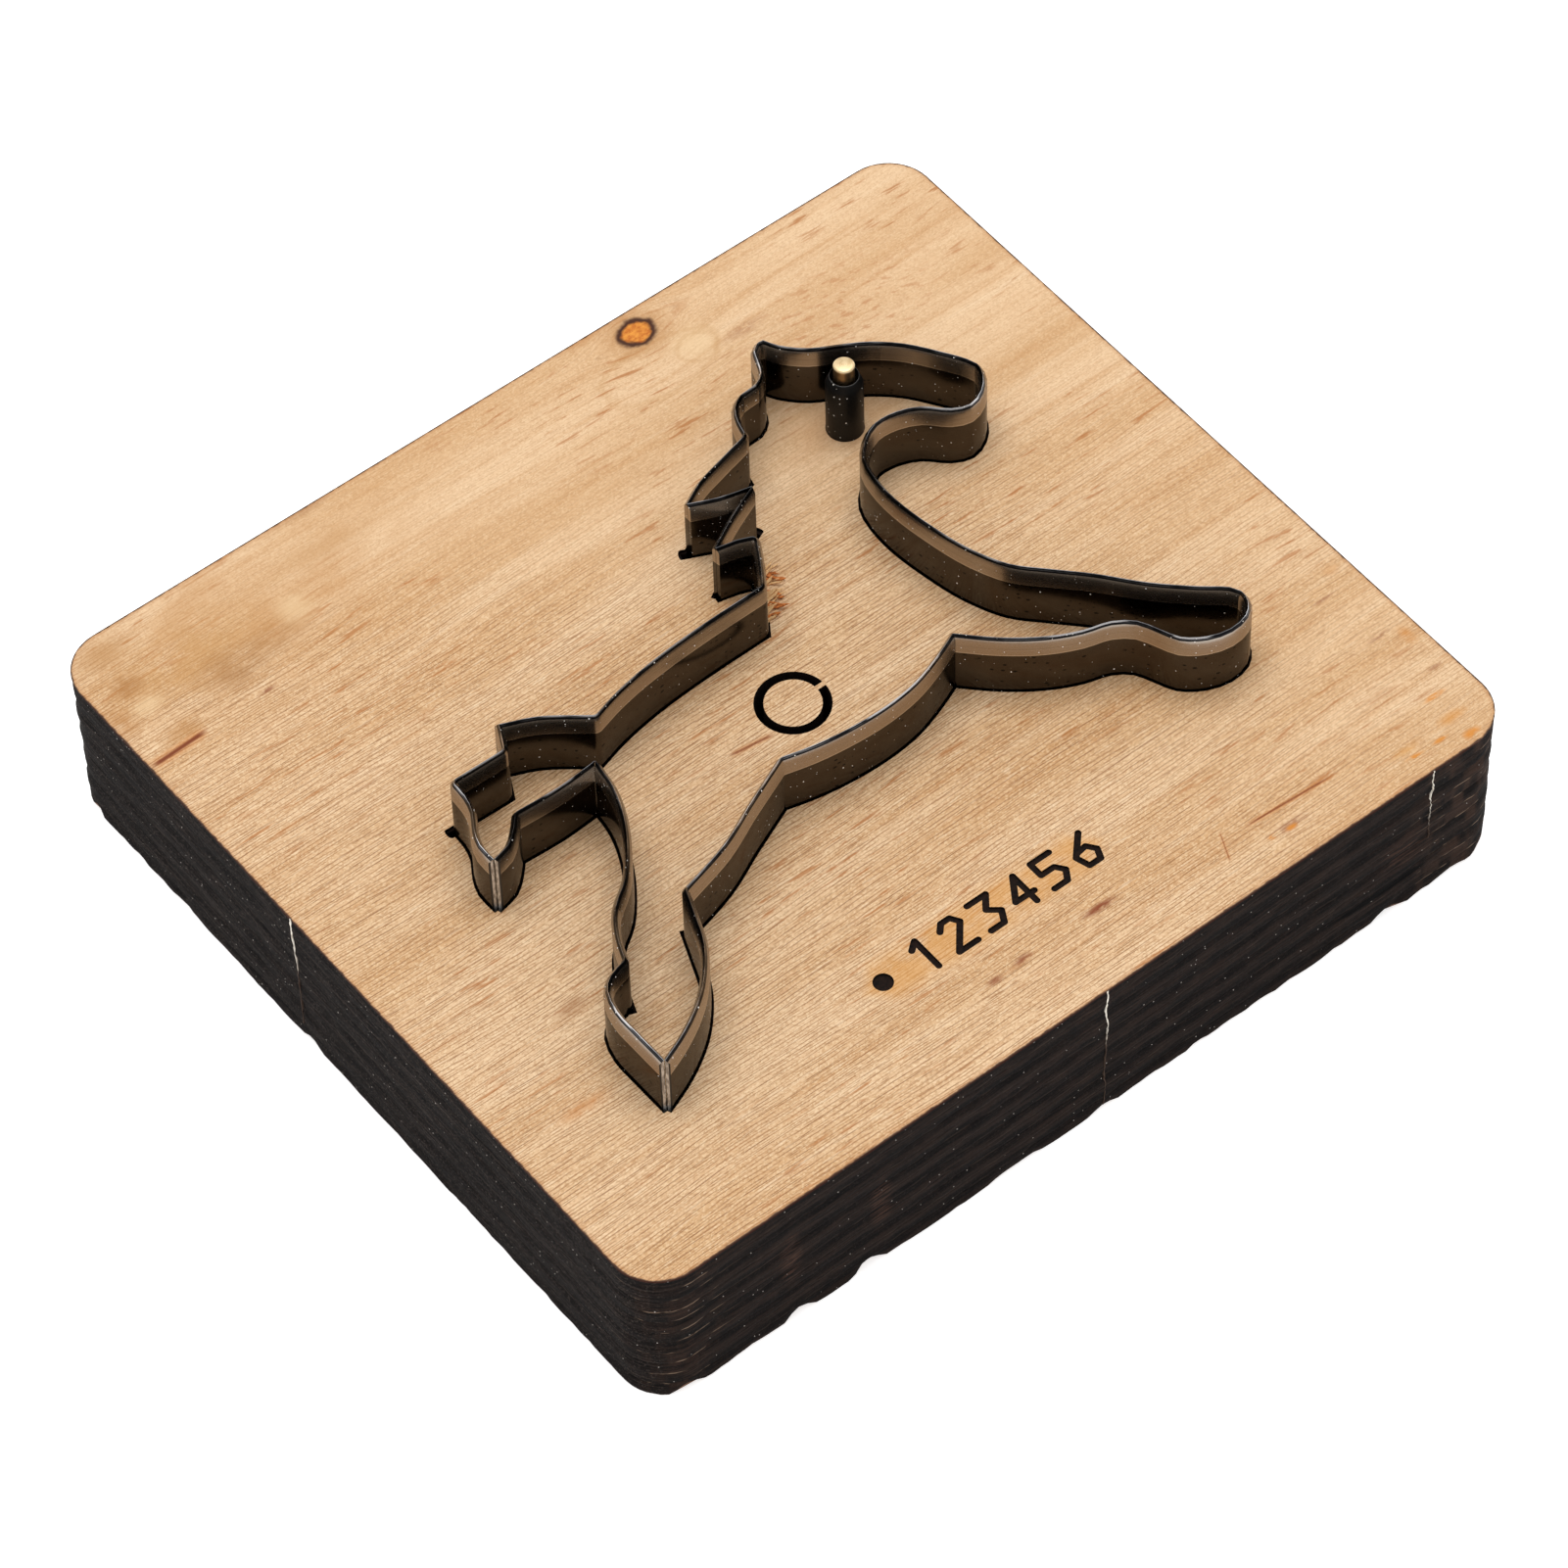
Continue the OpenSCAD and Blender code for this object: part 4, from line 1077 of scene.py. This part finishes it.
def scatter(pattern, name, places):
    """Copies of a pattern joined as one piece, each with its x, y, heading, pitch, length and width."""
    copies = []
    for x, y, heading, pitch, longer, wider in places:
        copy = pattern.copy()
        copy.data = pattern.data.copy()
        bpy.context.scene.collection.objects.link(copy)
        heading = Matrix.Rotation(math.radians(heading), 4, "Z")
        turn = heading @ Matrix.Rotation(math.radians(-pitch), 4, "Y")
        size = Matrix.Diagonal((longer, wider, wider, 1))
        copy.data.transform(Matrix.Translation((x * MM, y * MM, BOARD_HIGH.z)) @ turn @ size)
        copies.append(copy)
    alone(copies[0])
    for copy in copies[1:]:
        copy.select_set(True)
    bpy.ops.object.join()
    piece = bpy.context.object
    piece.name = piece.data.name = name
    smooth(piece, TORN_SMOOTH)
    return piece


class RULEDIE_OT_torn_fibres(Operator):
    """Lay the torn fibres beside the back rule's corner."""

    bl_idname = "rule_die.torn_fibres"
    bl_label = "Torn Fibres"

    def execute(self, context):
        look = settings().fibres
        draw = random.Random(FIBRE_SEED)
        pattern = torn_fibre(look.fibre_length)
        pale, rust = [], []
        for i in range(PALE_COUNT):
            share = i / (PALE_COUNT - 1)
            x = PALE_START[0] + FIBRE_RUN[0] * share + draw.uniform(-0.1, 0.1)
            y = PALE_START[1] + FIBRE_RUN[1] * share + draw.uniform(-0.15, 0.15)
            pale.append((x, y, *[draw.uniform(*span) for span in PALE_SPANS]))
        for share in RUST_SHARES:
            x = RUST_START[0] + FIBRE_RUN[0] * share
            y = RUST_START[1] + FIBRE_RUN[1] * share
            rust.append((x, y, *[draw.uniform(*span) for span in RUST_SPANS]))
        fresh = torn_wood("torn_wood_pale", tuple(look.pale), tone(176, 124, 72))
        stained = torn_wood("torn_wood_rust", tuple(look.rust), tone(120, 60, 24))
        dress(scatter(pattern, "torn_fibres_pale", pale), "die", [fresh])
        dress(scatter(pattern, "torn_fibres_rust", rust), "die", [stained])
        bpy.data.objects.remove(pattern)
        return {"FINISHED"}


class RULEDIE_OT_snapped_tabs(Operator):
    """Stand the snapped holding tabs on the board's wall."""

    bl_idname = "rule_die.snapped_tabs"
    bl_label = "Snapped Tabs"

    def execute(self, context):
        finish = torn_tab("torn_tab_wood")
        for number, (side, along, length, stout, seed) in enumerate(TABS, 1):
            draw = random.Random(seed)
            tab = cut_block((0, 0, 0), (1, 1, 1), 2, TAB_ROWS - 1)
            tab.name = tab.data.name = f"snapped_tab_{number}"
            rows = {}
            for vertex in tab.data.vertices:
                rows.setdefault(round(vertex.co.z * TAB_ROWS), []).append(vertex)
            drift = 0.0
            for level in sorted(rows, reverse=True):
                share = 0.5 - level / TAB_ROWS
                drift = 0.82 * drift + draw.uniform(-0.08, 0.08)
                width = (TAB_WIDTH - TAB_TAPER * share) * stout * draw.uniform(0.3, 1.3)
                proud = draw.uniform(0.0, 0.015) + 0.01 * share
                height = BOARD_TOP - 0.05 - length * share
                for vertex in rows[level]:
                    out, narrow = (-proud, 0.75) if vertex.co.x > 0 else (-TAB_DEPTH, 1.0)
                    vertex.co = Vector((out, drift + vertex.co.y * width * narrow, height)) * MM
            x, y = {
                "right": (BOARD_HALF[0], along), "left": (-BOARD_HALF[0], along),
                "back": (along, BOARD_HALF[1]), "front": (along, -BOARD_HALF[1])}[side]
            turn = Matrix.Rotation(math.radians(TAB_TURNS[side]), 4, "Z")
            tab.data.transform(Matrix.Translation((x * MM, y * MM, 0)) @ turn)
            smooth(tab, TORN_SMOOTH)
            dress(tab, "die", [finish])
        return {"FINISHED"}


class RULEDIE_OT_stage(Operator):
    """Set the pale floor, the soft light and the camera."""

    bl_idname = "rule_die.stage"
    bl_label = "Studio Stage"

    def execute(self, context):
        look = settings().stage
        scene = context.scene
        bpy.ops.object.select_all(action="DESELECT")
        bpy.ops.mesh.primitive_plane_add(size=FLOOR_SIZE, location=(0, 0, -FLOOR_DROP))
        floor = context.object
        floor.name = "studio_floor"
        floor.data.materials.append(floor_finish("paper_white_floor"))
        scene.world = scene.world or bpy.data.worlds.new("studio")
        scene.world.use_nodes = True
        dome = scene.world.node_tree.nodes["Background"].inputs
        dome["Color"].default_value = (1, 1, 1, 1)
        dome["Strength"].default_value = look.dome
        softbox = bpy.data.lights.new("overhead_softbox", "AREA")
        softbox.shape = "RECTANGLE"
        softbox.size, softbox.size_y = SOFTBOX_SIZE
        softbox.energy = look.softbox
        lamp = bpy.data.objects.new("overhead_softbox", softbox)
        scene.collection.objects.link(lamp)
        lamp.location = SOFTBOX_PLACE
        lamp.rotation_euler = (-lamp.location).to_track_quat("-Z", "Y").to_euler()
        camera = bpy.data.cameras.new("photo_camera")
        camera.sensor_width = SENSOR_WIDTH
        camera.lens = look.lens
        camera.clip_start = 0.01
        view = bpy.data.objects.new("photo_camera", camera)
        scene.collection.objects.link(view)
        turn = Matrix((CAMERA_RIGHT, CAMERA_UP, CAMERA_BACK)).transposed().to_quaternion()
        view.matrix_world = Matrix.LocRotScale(Vector(CAMERA_PLACE), turn, None)
        scene.camera = view
        scene.view_settings.view_transform = "Standard"
        scene.view_settings.look = "None"
        return {"FINISHED"}


class RULEDIE_PT_sidebar(Panel):
    """Lists the die's pieces and settings in the sidebar."""

    bl_idname = "RULEDIE_PT_sidebar"
    bl_label = "Steel Rule Die"
    bl_space_type = "VIEW_3D"
    bl_region_type = "UI"
    bl_category = "Rule Die"

    def draw(self, context):
        for operator in OPERATORS:
            self.layout.operator(operator.bl_idname)
        for group in ("board", "rules", "punch", "fibres", "stage"):
            box = self.layout.box()
            values = getattr(settings(), group)
            for name in values.bl_rna.properties.keys():
                if name not in ("rna_type", "name"):
                    box.prop(values, name)


GROUPS = (BoardSettings, RuleSettings, PunchSettings, FibreSettings, StageSettings, DieSettings)
OPERATORS = (RULEDIE_OT_stage, RULEDIE_OT_board, RULEDIE_OT_cutting_rules, RULEDIE_OT_eye_punch,
             RULEDIE_OT_torn_fibres, RULEDIE_OT_snapped_tabs)
CLASSES = GROUPS + OPERATORS + (RULEDIE_PT_sidebar,)


def register():
    for kind in CLASSES:
        bpy.utils.register_class(kind)
    bpy.types.Scene.steel_rule_die = PointerProperty(type=DieSettings)


def unregister():
    del bpy.types.Scene.steel_rule_die
    for kind in reversed(CLASSES):
        bpy.utils.unregister_class(kind)


def main():
    register()
    bpy.ops.rule_die.stage()
    bpy.ops.rule_die.board()
    bpy.ops.rule_die.cutting_rules()
    bpy.ops.rule_die.eye_punch()
    bpy.ops.rule_die.torn_fibres()
    bpy.ops.rule_die.snapped_tabs()


if __name__ == "__main__":
    main()
